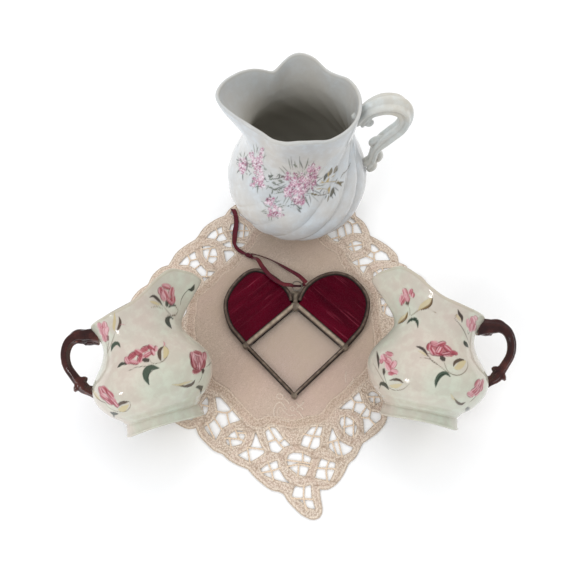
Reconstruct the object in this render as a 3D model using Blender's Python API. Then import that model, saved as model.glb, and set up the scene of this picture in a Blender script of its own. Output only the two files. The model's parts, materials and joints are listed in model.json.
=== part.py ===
# Tea-table group: a lace-edged doily carrying a white jug, two rose-painted
# pitchers lying on their sides, and a leaded-glass heart on a ribbon.
# Metres, +Z up.  The origin is the middle of the doily, on its underside,
# -Y is the front.  Plan drawings of the flat pieces are in millimetres
# measured from PLAN_ORIGIN.
import math
import bpy
import bmesh
from mathutils import Vector, Matrix
from mathutils.geometry import delaunay_2d_cdt

for o in list(bpy.data.objects):
    bpy.data.objects.remove(o, do_unlink=True)

# ---------------------------------------------------------------- dimensions
MM = 0.001
PLAN_ORIGIN = (4.0, -23.0)     # plan position of the doily centre
GAP = 0.3                      # clearance between neighbouring pieces

CLOTH_T = 0.8                  # linen and lace thickness
HEM_W = 5.6                    # inner hem tape
BAR_W = 1.15                   # needle-lace bars
REST_Z = CLOTH_T + GAP         # height of anything standing on the doily

JUG_AXIS = (7.5, 69.2)         # plan position
JUG_H = 108.0                  # rim height above the foot
JUG_BELLY_R = 47.6
JUG_RIM_R = 36.8
JUG_WALL = 3.0

PITCHER_WALL = 2.8
PITCHER_FOOT_ARCH = 3.0        # the foot is arched between spout and handle sides
PITCHER_FOOT_Z = 22.9          # height of the foot's centre when lying
PITCHER_TILT = 24.5            # degrees the mouth is raised
RIGHT_FOOT = (76.2, -101.0)
RIGHT_TURN = 12.2              # degrees from +Y towards +X
LEFT_FOOT = (-71.2, -103.3)
LEFT_TURN = -17.2

GLASS_T = 2.4
CAME_H = 4.2                   # lead came overall height
CAME_WEB = 0.8
CAME_GROOVE = 3.0
LOBE_CAME_W = 2.5
INNER_CAME_W = 3.6
LOWER_CAME_W = 2.0
SOLDER_R = 2.0

RIBBON_W = 3.0
RIBBON_T = 0.45


def P(x, y):
    return (x - PLAN_ORIGIN[0], y - PLAN_ORIGIN[1])


# ----------------------------------------------------------------- materials
def material(name, colour, rough, metal=0.0, transmission=0.0):
    m = bpy.data.materials.new(name)
    m.use_nodes = True
    b = m.node_tree.nodes["Principled BSDF"]
    b.inputs["Base Color"].default_value = (*colour, 1.0)
    b.inputs["Roughness"].default_value = rough
    b.inputs["Metallic"].default_value = metal
    b.inputs["Transmission Weight"].default_value = transmission
    m.diffuse_color = (*colour, 1.0)
    return m


MATS = {}


def mat(key, tag):
    specs = {
        "linen": ((0.62, 0.49, 0.37), 0.9, 0.0, 0.0),
        "tape": ((0.60, 0.46, 0.33), 0.9, 0.0, 0.0),
        "white_glaze": ((0.74, 0.78, 0.80), 0.12, 0.0, 0.0),
        "cream_glaze": ((0.70, 0.71, 0.64), 0.10, 0.0, 0.0),
        "brown_glaze": ((0.09, 0.025, 0.018), 0.12, 0.0, 0.0),
        "red_glass": ((0.28, 0.004, 0.03), 0.08, 0.0, 0.4),
        "clear_glass": ((0.86, 0.88, 0.86), 0.05, 0.0, 0.9),
        "came": ((0.22, 0.18, 0.15), 0.45, 1.0, 0.0),
        "solder": ((0.40, 0.37, 0.34), 0.35, 1.0, 0.0),
        "wire": ((0.45, 0.40, 0.34), 0.3, 1.0, 0.0),
        "ribbon": ((0.20, 0.012, 0.03), 0.4, 0.0, 0.0),
    }
    k = key + "_" + tag
    if k not in MATS:
        MATS[k] = material(k, *specs[key])
    return MATS[k]


# ------------------------------------------------------------------- helpers
def finish(bm, name, key, smooth=False, matrix=None):
    bmesh.ops.recalc_face_normals(bm, faces=bm.faces)
    vol = bm.calc_volume(signed=True)
    if vol < 0:
        bmesh.ops.reverse_faces(bm, faces=bm.faces)
    me = bpy.data.meshes.new(name)
    bm.to_mesh(me)
    bm.free()
    for p in me.polygons:
        p.use_smooth = smooth
    ob = bpy.data.objects.new(name, me)
    bpy.context.scene.collection.objects.link(ob)
    me.materials.append(mat(key, name))
    if matrix is not None:
        ob.matrix_world = matrix
    return ob


def recentre(ob, origin_mm):
    """Move the object origin to a world point without moving the shape."""
    o = Vector(origin_mm) * MM
    ob.data.transform(Matrix.Translation(-o))
    ob.matrix_world = Matrix.Translation(o)
    return ob


def spline(pts, closed=False, n=4):
    """Catmull-Rom through the control points, any dimension."""
    pts = [Vector(p) for p in pts]
    out = []
    m = len(pts)
    segs = m if closed else m - 1
    for i in range(segs):
        if closed:
            a, b, c, d = pts[i - 1], pts[i], pts[(i + 1) % m], pts[(i + 2) % m]
        else:
            b, c = pts[i], pts[i + 1]
            a = pts[i - 1] if i > 0 else b * 2 - c
            d = pts[i + 2] if i + 2 < m else c * 2 - b
        for k in range(n):
            t = k / n
            out.append(0.5 * ((2 * b) + (c - a) * t + (2 * a - 5 * b + 4 * c - d) * t * t
                              + (3 * b - a - 3 * c + d) * t ** 3))
    if not closed:
        out.append(pts[-1].copy())
    return out


def area2(loop):
    return sum(loop[i - 1][0] * loop[i][1] - loop[i][0] * loop[i - 1][1]
               for i in range(len(loop)))


def offset_loop(loop, d):
    """Closed loop moved outwards by d (negative moves inwards)."""
    s = 1.0 if area2(loop) > 0 else -1.0
    n = len(loop)
    out = []
    for i in range(n):
        p = Vector(loop[i][:2])
        d0 = (p - Vector(loop[i - 1][:2])).normalized()
        d1 = (Vector(loop[(i + 1) % n][:2]) - p).normalized()
        t = (d0 + d1).normalized()
        k = d / max(0.45, t.dot(d1))
        out.append((p.x + s * t.y * k, p.y - s * t.x * k))
    return out


def ribbon_poly(path, w, extend=0.0):
    """Outline of a flat strip of width w along an open path."""
    pts = [Vector(p[:2]) for p in path]
    if extend:
        pts[0] = pts[0] + (pts[0] - pts[1]).normalized() * extend
        pts[-1] = pts[-1] + (pts[-1] - pts[-2]).normalized() * extend
    left, right = [], []
    for i, p in enumerate(pts):
        t = (pts[min(i + 1, len(pts) - 1)] - pts[max(i - 1, 0)]).normalized()
        nrm = Vector((-t.y, t.x))
        left.append(tuple(p + nrm * w / 2))
        right.append(tuple(p - nrm * w / 2))
    return left + right[::-1]


def inside(p, loop):
    x, y = p
    c = False
    j = len(loop) - 1
    for i in range(len(loop)):
        xi, yi = loop[i][0], loop[i][1]
        xj, yj = loop[j][0], loop[j][1]
        if (yi > y) != (yj > y) and x < (xj - xi) * (y - yi) / (yj - yi) + xi:
            c = not c
        j = i
    return c


def bbox(loop):
    xs = [p[0] for p in loop]
    ys = [p[1] for p in loop]
    return min(xs), min(ys), max(xs), max(ys)


def flat_region(loops, keep):
    """Triangulate the plane with every loop as a constraint and keep the
    triangles whose middle passes keep()."""
    verts, edges = [], []
    for lp in loops:
        b = len(verts)
        verts += [Vector((p[0], p[1])) for p in lp]
        edges += [(b + i, b + (i + 1) % len(lp)) for i in range(len(lp))]
    v, e, f, _, _, _ = delaunay_2d_cdt(verts, edges, [], 0, 1e-3)
    tris = []
    for t in f:
        a, b, c = (v[i] for i in t)
        if abs((b - a).cross(c - a)) < 1e-5:
            continue
        m = (a + b + c) / 3
        if keep((m.x, m.y)):
            tris.append(tuple(t))
    return v, heal(f, tris)


def heal(faces, tris):
    """Fill round any point where two areas would meet only at a corner."""
    kept = {tuple(sorted(t)) for t in tris}
    at = {}
    for t in faces:
        for i in t:
            at.setdefault(i, []).append(tuple(t))
    while True:
        count, ends = {}, {}
        for t in tris:
            for p, q in ((t[0], t[1]), (t[1], t[2]), (t[2], t[0])):
                k = (min(p, q), max(p, q))
                count[k] = count.get(k, 0) + 1
        for (p, q), k in count.items():
            if k == 1:
                ends[p] = ends.get(p, 0) + 1
                ends[q] = ends.get(q, 0) + 1
        bad = [i for i, k in ends.items() if k > 2]
        if not bad:
            return tris
        for i in bad:
            for t in at[i]:
                if tuple(sorted(t)) not in kept:
                    kept.add(tuple(sorted(t)))
                    tris.append(t)


def slab(name, key, v, tris, z0, z1):
    """Flat triangles thickened into one closed plate."""
    bm = bmesh.new()
    used = sorted({i for t in tris for i in t})
    lo = {i: bm.verts.new((v[i].x * MM, v[i].y * MM, z0 * MM)) for i in used}
    hi = {i: bm.verts.new((v[i].x * MM, v[i].y * MM, z1 * MM)) for i in used}
    count = {}
    for t in tris:
        a, b, c = t
        if (v[b] - v[a]).cross(v[c] - v[a]) < 0:
            b, c = c, b
        bm.faces.new((hi[a], hi[b], hi[c]))
        bm.faces.new((lo[c], lo[b], lo[a]))
        for p, q in ((a, b), (b, c), (c, a)):
            count[(p, q)] = count.get((p, q), 0) + 1
    for (p, q), k in count.items():
        if (q, p) not in count:
            bm.faces.new((lo[p], lo[q], hi[q], hi[p]))
    return finish(bm, name, key)


def plate(name, key, loop, z0, z1):
    v, tris = flat_region([loop], lambda p: inside(p, loop))
    return slab(name, key, v, tris, z0, z1)


def loft(rings, fan=True):
    """Closed skin through equal rings of points (millimetres).  The ends are
    closed by a fan, or by one flat face where the section is not convex."""
    bm = bmesh.new()
    rows = [[bm.verts.new(Vector(p) * MM) for p in ring] for ring in rings]
    n = len(rings[0])
    for a, b in zip(rows, rows[1:]):
        for i in range(n):
            j = (i + 1) % n
            bm.faces.new((a[i], a[j], b[j], b[i]))
    for row in (rows[0], rows[-1]):
        if not fan:
            bm.faces.new(row)
            continue
        c = Vector((0, 0, 0))
        for p in row:
            c += p.co
        cv = bm.verts.new(c / n)
        for i in range(n):
            bm.faces.new((row[i], row[(i + 1) % n], cv))
    return bm


def sweep_planar(path, section, z, closed=False):
    """Sweep a (sideways, up) section along a plan path with mitred corners."""
    pts = [Vector(p[:2]) for p in path]
    rings = []
    n = len(pts)
    for i, p in enumerate(pts):
        if 0 < i < n - 1:
            d0 = (p - pts[i - 1]).normalized()
            d1 = (pts[i + 1] - p).normalized()
            t = (d0 + d1).normalized()
            k = 1.0 / max(0.5, t.dot(d1))
        else:
            t = (pts[min(i + 1, n - 1)] - pts[max(i - 1, 0)]).normalized()
            k = 1.0
        nrm = Vector((-t.y, t.x)) * k
        rings.append([(p.x + nrm.x * a, p.y + nrm.y * a, z + b) for a, b in section])
    return loft(rings, fan=False)


def tube(path, radii, sides=10, flat=1.0, up=Vector((0, 1, 0))):
    """Round or oval rod along a 3-D path.  flat squeezes it across `up`."""
    pts = [Vector(p) for p in path]
    rings = []
    n = len(pts)
    for i, p in enumerate(pts):
        t = (pts[min(i + 1, n - 1)] - pts[max(i - 1, 0)]).normalized()
        a = up - t * up.dot(t)
        a.normalize()
        b = t.cross(a)
        r = radii(i / (n - 1))
        rings.append([p + a * (r * flat * math.cos(u)) + b * (r * math.sin(u))
                      for u in (2 * math.pi * k / sides for k in range(sides))])
    return loft(rings)


def table(rows, x):
    """Smooth interpolation in a short table of (x, value) rows."""
    if x <= rows[0][0]:
        return rows[0][1]
    for i in range(len(rows) - 1):
        x0, y0 = rows[i]
        x1, y1 = rows[i + 1]
        if x <= x1:
            xa, ya = rows[i - 1] if i > 0 else (2 * x0 - x1, y1)
            xb, yb = rows[i + 2] if i + 2 < len(rows) else (2 * x1 - x0, y0)
            m0 = (y1 - ya) / (x1 - xa) * (x1 - x0)
            m1 = (yb - y0) / (xb - x0) * (x1 - x0)
            if (y1 - y0) * m0 <= 0:
                m0 = 0.0
            if (y1 - y0) * m1 <= 0:
                m1 = 0.0
            t = (x - x0) / (x1 - x0)
            return (y0 * (2 * t ** 3 - 3 * t * t + 1) + m0 * (t ** 3 - 2 * t * t + t)
                    + y1 * (3 * t * t - 2 * t ** 3) + m1 * (t ** 3 - t * t))
    return rows[-1][1]


def smooth01(t):
    t = min(1.0, max(0.0, t))
    return t * t * (3 - 2 * t)


# --------------------------------------------------------------------- doily
# Scallops of the outer edge; each one runs from notch to notch.
EDGE = [
    [(18.5, -135.3), (24, -135.2), (29.5, -131.5), (33.5, -126), (36.5, -120.2)],
    [(36.5, -120.2), (40.5, -117), (43.5, -112), (45.5, -108.3)],
    [(45.5, -108.3), (50.5, -105), (56, -101), (60.5, -95.5), (62.5, -90)],
    [(62.5, -90), (69, -88), (75, -82.5), (79, -75.5)],
    [(79, -75.5), (86, -73.5), (92, -67.5), (95.5, -59.5)],
    [(95.5, -59.5), (102, -56.5), (107, -51.5), (108.5, -45.5)],
    [(108.5, -45.5), (114, -43), (119, -38.5), (120.5, -32), (116.5, -26.5), (109.5, -24)],
    [(109.5, -24), (108.5, -17), (104.5, -10), (98, -5)],
    [(98, -5), (97.5, 3), (93, 9.5), (85.5, 13.5)],
    [(85.5, 13.5), (84, 17.5), (79, 20.3)],
    [(79, 20.3), (78, 27), (73, 33.5), (66.5, 38.8), (60, 43)],
    [(60, 43), (58.5, 49.5), (55.5, 55.5), (50.5, 60.5)],
    [(50.5, 60.5), (49, 68.5), (44.5, 76), (37.5, 81.5)],
    [(37.5, 81.5), (36, 90), (31, 97), (23.5, 101)],
    [(23.5, 101), (21, 110), (14.5, 117.5), (7, 120.5), (0, 117.5), (-5.5, 110), (-8, 102)],
    [(-8, 102), (-16, 101), (-22.5, 95.5), (-26, 88.5)],
    [(-26, 88.5), (-32, 85), (-36.5, 78.5), (-38.5, 71.5)],
    [(-38.5, 71.5), (-43.5, 67), (-47, 61)],
    [(-47, 61), (-53, 57.8), (-58.8, 53.3), (-62.6, 49), (-65.3, 43.5), (-67.5, 39.7)],
    [(-67.5, 39.7), (-75, 34), (-80.6, 28), (-83.3, 22), (-85, 18)],
    [(-85, 18), (-90.5, 15.8), (-95.5, 10), (-98, 2.5)],
    [(-98, 2.5), (-104, -2.5), (-108, -9.5), (-109, -17)],
    [(-109, -17), (-116, -21.5), (-121, -28.5), (-121.5, -37), (-117, -43.5), (-109, -46)],
    [(-109, -46), (-107.5, -54), (-102, -60.5), (-94, -64)],
    [(-94, -64), (-92.5, -72.5), (-87.5, -79.5), (-79.5, -84)],
    [(-79.5, -84), (-77, -90.5), (-71.5, -94.5), (-67, -97.3), (-62, -99.2), (-57, -98.6)],
    [(-57, -98.6), (-54.6, -103.6), (-50, -108.3), (-45, -112.6), (-39.8, -114.6)],
    [(-39.8, -114.6), (-36, -118), (-30, -121.3), (-24, -123.6)],
    [(-24, -123.6), (-20, -128), (-15, -132.2), (-10, -135.6), (-5.2, -136.7), (-2.2, -138.2)],
    [(-2.2, -138.2), (0, -141.8), (4, -146), (8.5, -149.8), (14, -152.2), (18.2, -151),
     (19.8, -147), (19, -141), (18.5, -135.3)],
]

# Centre line of the hem tape sewn round the linen.
HEM = [
    (-12, -94.0), (-4, -95.0), (4, -96.5), (13, -94.2), (22, -92.2), (29, -83.6), (37.5, -77.0),
    (43, -70.6), (51, -64), (58, -53), (60.5, -41), (60, -28), (59.3, -15), (59.5, -5),
    (55.5, 3), (49.5, 7.5), (44, 14.5), (39.5, 23), (37.5, 29.8), (30.5, 34.5), (23.8, 41.5),
    (17, 51), (6, 57), (-6, 55), (-16.5, 50), (-24, 45), (-26.5, 37.5), (-33.0, 28.5),
    (-40.0, 17.8), (-47.0, 13.2), (-53.5, 4.4), (-59.5, -1.8), (-65.0, -8.5), (-65.5, -18),
    (-66, -30), (-63, -45), (-57, -60), (-49.5, -70), (-40.5, -76.0), (-34.0, -82.7),
    (-25.7, -91.5), (-19.5, -96.2),
]

# Openings in the lace with the thread bars that cross them.
FRONT_MOTIF = {
    "tip": ([(4, -133.5), (9, -134.3), (13.7, -132.7), (14, -140), (16.2, -146.8), (12, -146.2),
             (7, -142), (2, -139.5)],
            [[(9.5, -133.8), (9.3, -141.3), (11, -147)], [(2.5, -140.6), (14.4, -141.2)]]),
    "left_arch": ([(-1, -119), (0, -115.5), (3, -113.8), (9, -114.3), (14.3, -117), (12.7, -123),
                   (10.3, -128.3), (5.5, -127), (0.5, -123)],
                  [[(-1, -118.5), (9, -119.8), (13.8, -120.6)], [(9, -114), (9, -119.8)],
                   [(0, -122.3), (6.5, -121), (13, -122.3)], [(6.5, -121), (6, -127.5)]]),
    "right_arch": ([(20, -117.3), (24.5, -119), (28.9, -120), (28, -125), (25, -131), (22.5, -130.3),
                    (16, -129), (17.5, -123.5)],
                   [[(17.5, -123.2), (28.5, -123.7)], [(25, -118.8), (23, -124), (23.5, -131)]]),
    "left_leaf": ([(-14.3, -101), (-10.5, -98.3), (-8, -98.5), (-3, -105), (1.8, -109.5),
                   (-2, -110.5), (-6, -114.5), (-10.5, -113.5)],
                  [[(-12, -98.5), (-7.5, -106), (-2.4, -111.5)], [(-11.8, -107.3), (-7.5, -106)],
                   [(-5.6, -108), (-2, -105)]]),
    "right_leaf": ([(15, -98), (21.7, -98), (20, -104), (19.5, -110), (16.5, -112.3), (7.5, -109.7),
                    (9.5, -104), (12, -101)],
                   [[(10, -102.6), (15.5, -104), (20.5, -104.2)], [(18.4, -97.5), (15.5, -104),
                    (12.6, -111)]]),
    "left_wedge": ([(-20, -101.2), (-17.5, -107.5), (-14, -114), (-18, -117), (-23, -119.8),
                    (-31, -115.5), (-25, -112.3), (-22.3, -109)],
                   [[(-24.5, -110.9), (-15.5, -112)], [(-24.8, -111.4), (-23, -120)]]),
    "right_wedge": ([(27.5, -98.3), (30, -104.5), (32.5, -107), (36.5, -109.4), (40.2, -110.8),
                     (38, -113.8), (33.5, -116), (28.5, -114.7), (25, -111), (25.2, -106)],
                    [[(24.8, -108), (30.8, -106.2)], [(30.6, -105.5), (33, -116.4)],
                     [(27.3, -107.6), (29.7, -115.6)]]),
    "left_lens": ([(-17, -124), (-12, -120.5), (-6.5, -118.5), (-5.5, -123.5), (-2, -129),
                   (1.6, -132.3), (-4, -131), (-9, -129.5), (-14, -127.5)],
                  [[(-12, -120.2), (-10, -125), (-8.8, -130)], [(-10, -125), (-5, -123.3)],
                   [(-16, -126), (-10, -125)]]),
}
LACE = {
    "sw_leaf": ([(-46.5, -78.8), (-43, -79), (-37.5, -85), (-29.4, -94), (-36, -96), (-41, -99),
                 (-44.5, -106.5), (-49, -103), (-52.5, -98.5), (-47.5, -95), (-44, -90)],
                [[(-45.3, -88.3), (-38.5, -89.2), (-35, -86.6)], [(-38.5, -89.2), (-36.5, -97)],
                 [(-46.8, -91.8), (-41.3, -99.6)], [(-50.6, -95.8), (-45.6, -105)]]),
    "sw_ring": ([(-38.5, -106.5), (-36, -102.5), (-32, -100.1), (-27.8, -100.7), (-26.5, -103.8),
                 (-28.5, -109), (-34, -110.3), (-37, -109.5)],
                [[(-38.6, -105.3), (-30, -105.8), (-27, -107.2)], [(-32.8, -99.8), (-30, -105.8)],
                 [(-31.6, -101.8), (-26.3, -102.2)], [(-36.2, -105.3), (-34.8, -110.8)]]),
    "w_small": ([(-55, -83), (-51.5, -78.5), (-50.3, -82), (-50.5, -88), (-52, -91), (-55, -90.5),
                 (-53.5, -87)],
                [[(-55.5, -84), (-50, -85)]]),
    "w_sliver": ([(-68, -92), (-64, -90.8), (-60, -90.5), (-59.5, -94.1), (-63, -93.8)], []),
    "se_ring": ([(32, -96), (33, -92), (37.5, -91.7), (41, -94.5), (43.2, -98), (42, -102),
                 (40, -104.6), (37.5, -103.6), (34.5, -101)],
                [[(35.6, -91.3), (34.8, -102)], [(34.8, -98.3), (41, -97)],
                 [(41, -94), (40.4, -104.5)]]),
    "se_long": ([(32.2, -86.8), (36.5, -83), (41, -79.7), (45.5, -75.4), (47.2, -82), (51.5, -88),
                 (58.6, -89.5), (58.2, -93.3), (53.5, -97), (47, -103), (47, -94), (45.5, -90.5),
                 (40, -87)],
                [[(40.4, -79.4), (42.5, -82.2), (47.9, -82.6)], [(42.5, -82.2), (40.8, -88)],
                 [(49.4, -85.4), (45.4, -91)], [(52, -87.6), (50.5, -92.3), (46.4, -92.2)],
                 [(50.5, -92.3), (54.4, -97)]]),
    "se_small": ([(51, -76.5), (54, -75), (57.5, -77), (59, -82), (56, -83.5), (52, -82)],
                 [[(50.6, -78.8), (58.6, -79)], [(55, -79), (54.5, -84)]]),
    "nw_triangle": ([(-60, 41.3), (-57, 46.3), (-49, 51.6), (-48, 46), (-44.2, 40), (-50, 37.8),
                     (-54, 40.3)],
                    [[(-53.2, 49.6), (-51.5, 44), (-53.5, 39.6)], [(-51.5, 44), (-47.8, 45.6)]]),
    "nw_ring": ([(-62.5, 34.3), (-58, 34.8), (-53, 33.3), (-51, 28), (-50.8, 23), (-54, 19.2),
                 (-58, 21.8), (-61, 26)],
                [[(-62.6, 31.4), (-53, 33)], [(-56.2, 32.4), (-58, 21.6)], [(-57.2, 25.6),
                 (-50.4, 25.2)]]),
    "nw_slot": ([(-48, 35.8), (-43, 38.2), (-37, 37.3), (-30.6, 36.3), (-30.6, 34.2), (-37, 32.9),
                 (-44.5, 33.1)], [[(-40.5, 32.5), (-41.5, 38.6)]]),
    "nw_kite": ([(-46.7, 30.5), (-40.5, 30.5), (-38, 27.5), (-44.3, 20.3)], []),
    "nw_oval": ([(-43.5, 48), (-42.2, 53.5), (-36.5, 55.5), (-31, 52), (-28.5, 47), (-29, 43),
                 (-34, 41.3), (-40.5, 42.5)],
                [[(-44, 47.5), (-28, 47.6)], [(-32.7, 40.8), (-32.3, 53.4)],
                 [(-38, 42), (-38.5, 56)]]),
    "nw_tip_a": ([(-43.4, 62.6), (-42.6, 65.4), (-39.8, 67.2), (-38.6, 63), (-40.2, 60.6)], []),
    "nw_tip_b": ([(-36.2, 67.8), (-31.8, 61.2), (-33, 58.9), (-36.6, 61.6)], []),
    "w_long": ([(-78.3, 18.5), (-74, 25), (-67.2, 30), (-66, 25), (-63, 19.5), (-58, 13.6),
                (-51.4, 13), (-55, 9), (-59, 4.8), (-60.5, 8.5), (-66, 15), (-70.5, 18)],
               [[(-72.3, 27), (-70.2, 22), (-71.3, 17.4)], [(-70.2, 22), (-65, 23.4)],
                [(-67, 14.6), (-62, 19.2)], [(-60.6, 8.9), (-54.6, 9)], [(-57.4, 14), (-57.6, 8.6)]]),
    "w_inner": ([(-75.4, -12), (-70, -12.4), (-69.2, -19), (-71.6, -23.6), (-75.8, -20)],
                [[(-72, -11.8), (-74, -23)]]),
    "ne_long": ([(27.8, 45.3), (37, 49), (44, 55.5), (46.5, 60), (52, 53.8), (54.9, 45), (47, 45.5),
                 (42, 43), (38.5, 41), (36.6, 37.6), (33.2, 38.8), (30.5, 42)],
                [[(37.2, 40.6), (36.4, 49.2)], [(31.6, 40.2), (38, 42.4)], [(43, 43), (41.3, 53.6)],
                 [(43.6, 56.4), (47.4, 53), (47.6, 45)], [(47.4, 53), (51.6, 55)]]),
    "ne_ring": ([(43.3, 33), (45, 37), (49.5, 39), (53.8, 37.8), (54, 32.8), (50, 30.2), (46, 30)],
                [[(46.2, 38.6), (48, 29.8)], [(43, 33.4), (54.4, 35.8)]]),
    "e_long": ([(60.4, 36.8), (64, 34.4), (66.5, 31), (71, 28.6), (73.8, 22.2), (62.5, 22), (57, 18.9),
                (53.5, 11.3), (50, 17), (45.4, 20.6), (49.5, 22.8), (56, 25.4), (60, 29.5)],
               [[(59.6, 30.6), (62, 28.5), (67.6, 31.4)], [(62, 28.5), (61.8, 21.4)],
                [(62, 23), (55.4, 26.4)], [(50.4, 23.6), (50.7, 16.6)], [(49.6, 17.5), (57.4, 18.7)]]),
    "e_band": ([(59.9, 9.4), (60.6, 12.5), (66, 15.4), (73, 16), (79, 16.6), (79, 14.4), (70, 13.4),
                (64.6, 11), (61.8, 8)],
               [[(62.2, 14), (64, 10)], [(67.2, 16.2), (67.4, 12.4)], [(74, 17), (74, 13.6)]]),
    "e_inner": ([(64, -7.2), (67.5, -9.6), (72, -11), (72.2, -23.4), (68.6, -22), (64.8, -19),
                 (64.2, -13)],
                [[(63.6, -14), (68, -13), (67, -8.8)], [(68, -13), (73, -18)],
                 [(67.2, -13), (65.8, -20.4)]]),
}
# The same corner motif is worked at the other three corners, with thread
# bars in its larger openings.
WORKED = ("tip", "left_arch", "right_arch")
CORNERS = [("right", (120.5, -33.0), ("right_leaf",)),
           ("back", (7.0, 120.5), ()),
           ("left", (-121.5, -36.0), ("left_leaf",))]


def doily():
    edge = []
    for sc in EDGE:
        edge += [tuple(p) for p in spline([P(*q) for q in sc], n=2)[:-1]]
    hem = [tuple(p) for p in spline([P(*q) for q in HEM], closed=True, n=2)]
    holes, bars = [], []
    items = list(FRONT_MOTIF.values()) + list(LACE.values())
    front = Vector(P(10.0, -150.0))
    for _, tip, skip in CORNERS:
        t = Vector(P(*tip))
        turn = math.atan2(t.y, t.x) - math.atan2(front.y, front.x)
        k = t.length / front.length
        c, s = math.cos(turn) * k, math.sin(turn) * k

        def place(q):
            x, y = P(*q)
            return (x * c - y * s + PLAN_ORIGIN[0], x * s + y * c + PLAN_ORIGIN[1])
        for key, (loop, lines) in FRONT_MOTIF.items():
            if key not in skip:
                lines = lines if key in WORKED else []
                items.append(([place(q) for q in loop], [[place(q) for q in ln] for ln in lines]))
    for loop, lines in items:
        holes.append([P(*q) for q in loop])
        for ln in lines:
            bars.append(ribbon_poly([P(*q) for q in ln], BAR_W, extend=0.4))
    outer_hem = offset_loop(hem, HEM_W / 2 + GAP)
    hb = [(bbox(h), h) for h in holes]
    bb = [(bbox(b), b) for b in bars]

    def hit(p, boxed):
        for (x0, y0, x1, y1), lp in boxed:
            if x0 <= p[0] <= x1 and y0 <= p[1] <= y1 and inside(p, lp):
                return True
        return False

    def keep(p):
        if not inside(p, edge) or inside(p, outer_hem):
            return False
        return not hit(p, hb) or hit(p, bb)

    v, tris = flat_region([edge, outer_hem] + holes + bars, keep)
    slab("lace_border", "tape", v, tris, 0.0, CLOTH_T)

    a, b = offset_loop(hem, HEM_W / 2), offset_loop(hem, -HEM_W / 2)
    v, tris = flat_region([a, b], lambda p: inside(p, a) and not inside(p, b))
    slab("hem_tape", "tape", v, tris, 0.0, CLOTH_T)

    c = offset_loop(hem, -HEM_W / 2 - GAP)
    plate("linen_centre", "linen", c, 0.0, CLOTH_T)


# ------------------------------------------------------------------- vessels
def vessel(rows_out, rows_in, foot_z, n, shape):
    """Outer skin from the foot up, over the lip and down the inside."""
    rings = []
    for s, r in rows_out:
        rings.append([shape(s, r, 2 * math.pi * k / n, 0) for k in range(n)])
    for s, r in rows_in:
        rings.append([shape(s, r, 2 * math.pi * k / n, 1) for k in range(n)])
    return loft(rings)


JUG_PROFILE = [(0, 27.5), (1.5, 28.8), (5, 31.5), (10, 35.6), (17, 41.3), (25, 45.6), (34, 47.6),
               (43, 47.0), (52, 44.2), (61, 40.2), (70, 36.6), (79, 34.4), (88, 34.2), (97, 35.4),
               (104, 36.4), (108, 36.8)]
# spout at angle 0; rim height and rim reach round the mouth (degrees, mm)
JUG_LIP_Z = [(0, 3.5), (14, 4.0), (30, 3.0), (48, 0.4), (60, -2.0), (72, -0.6), (88, 2.4),
             (102, 1.2), (120, -2.6), (145, -1.4), (162, -2.2), (180, -2.0)]
JUG_LIP_R = [(0, 13.6), (10, 11.6), (22, 6.8), (38, 1.6), (58, -1.4), (85, 0.0), (118, -1.4),
             (145, 0.2), (180, 0.0)]
FLUTES = 14
FLUTE_DEPTH = 0.55


def jug():
    n = 44
    zt = JUG_PROFILE[-1][0]

    def shape(s, r, u, inner):
        deg = abs((math.degrees(u) + 180) % 360 - 180)
        w = smooth01((s - 72) / (zt - 72))
        z = s + table(JUG_LIP_Z, deg) * w
        r = r + table(JUG_LIP_R, deg) * w ** 1.35
        if math.sin(u) < 0:    # deeper waves in the far half of the rim
            dip = (math.exp(-((deg - 58) / 15.0) ** 2) + 0.9 * math.exp(-((deg - 132) / 20.0) ** 2)) * w
            z -= 2.6 * dip
            r -= 2.2 * dip
        r += 1.6 * math.cos(u) * math.sin(math.pi * min(1, s / 80.0))
        if not inner:
            k = math.sin(math.pi * min(1.0, max(0.0, (s - 4) / 84.0)))
            r += FLUTE_DEPTH * k * math.cos(FLUTES * (u - s * 0.026))
        x = -r * math.cos(u)
        y = -r * math.sin(u)
        return (x, y, z)

    out = [(s, table(JUG_PROFILE, s)) for s, _ in JUG_PROFILE]
    lip = [(zt + 0.7, 36.8 - 1.2), (zt, 36.8 - 2.5)]
    inn = [(s, table(JUG_PROFILE, s) - JUG_WALL) for s in
           (100, 90, 79, 66, 52, 38, 25, 15)] + [(6.0, 28.0), (4.0, 18.0)]
    bm = vessel([(0.8, 17.0), (0.0, 24.0)] + out, lip + inn, 0, n, shape)
    ax = Vector((*P(*JUG_AXIS), REST_Z)) * MM
    finish(bm, "jug_body", "white_glaze", True, Matrix.Translation(ax))

    # scrolled handle in the plane through the axis, opposite the spout
    spine = [(40.2, 0, 95.6), (43.6, 0, 101.4), (49.8, 0, 104.4), (57.0, 0, 103.2), (62.4, 0, 98.4),
             (64.4, 0, 92.0), (62.6, 0, 84.4), (57.6, 0, 77.6), (52.4, 0, 70.8), (49.6, 0, 64.5),
             (49.8, 0, 58.6), (49.6, 0, 52.4), (48.8, 0, 48.6)]
    path = spline([(x, y, z) for x, y, z in spine], n=2)

    def rad(t):
        return table([(0, 3.6), (0.18, 5.4), (0.42, 4.5), (0.6, 4.1), (0.8, 3.3), (0.9, 3.1),
                      (1, 2.4)], t)
    bm = tube(path, rad, sides=12, flat=1.0)
    finish(bm, "jug_handle", "white_glaze", True, Matrix.Translation(ax))


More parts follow.
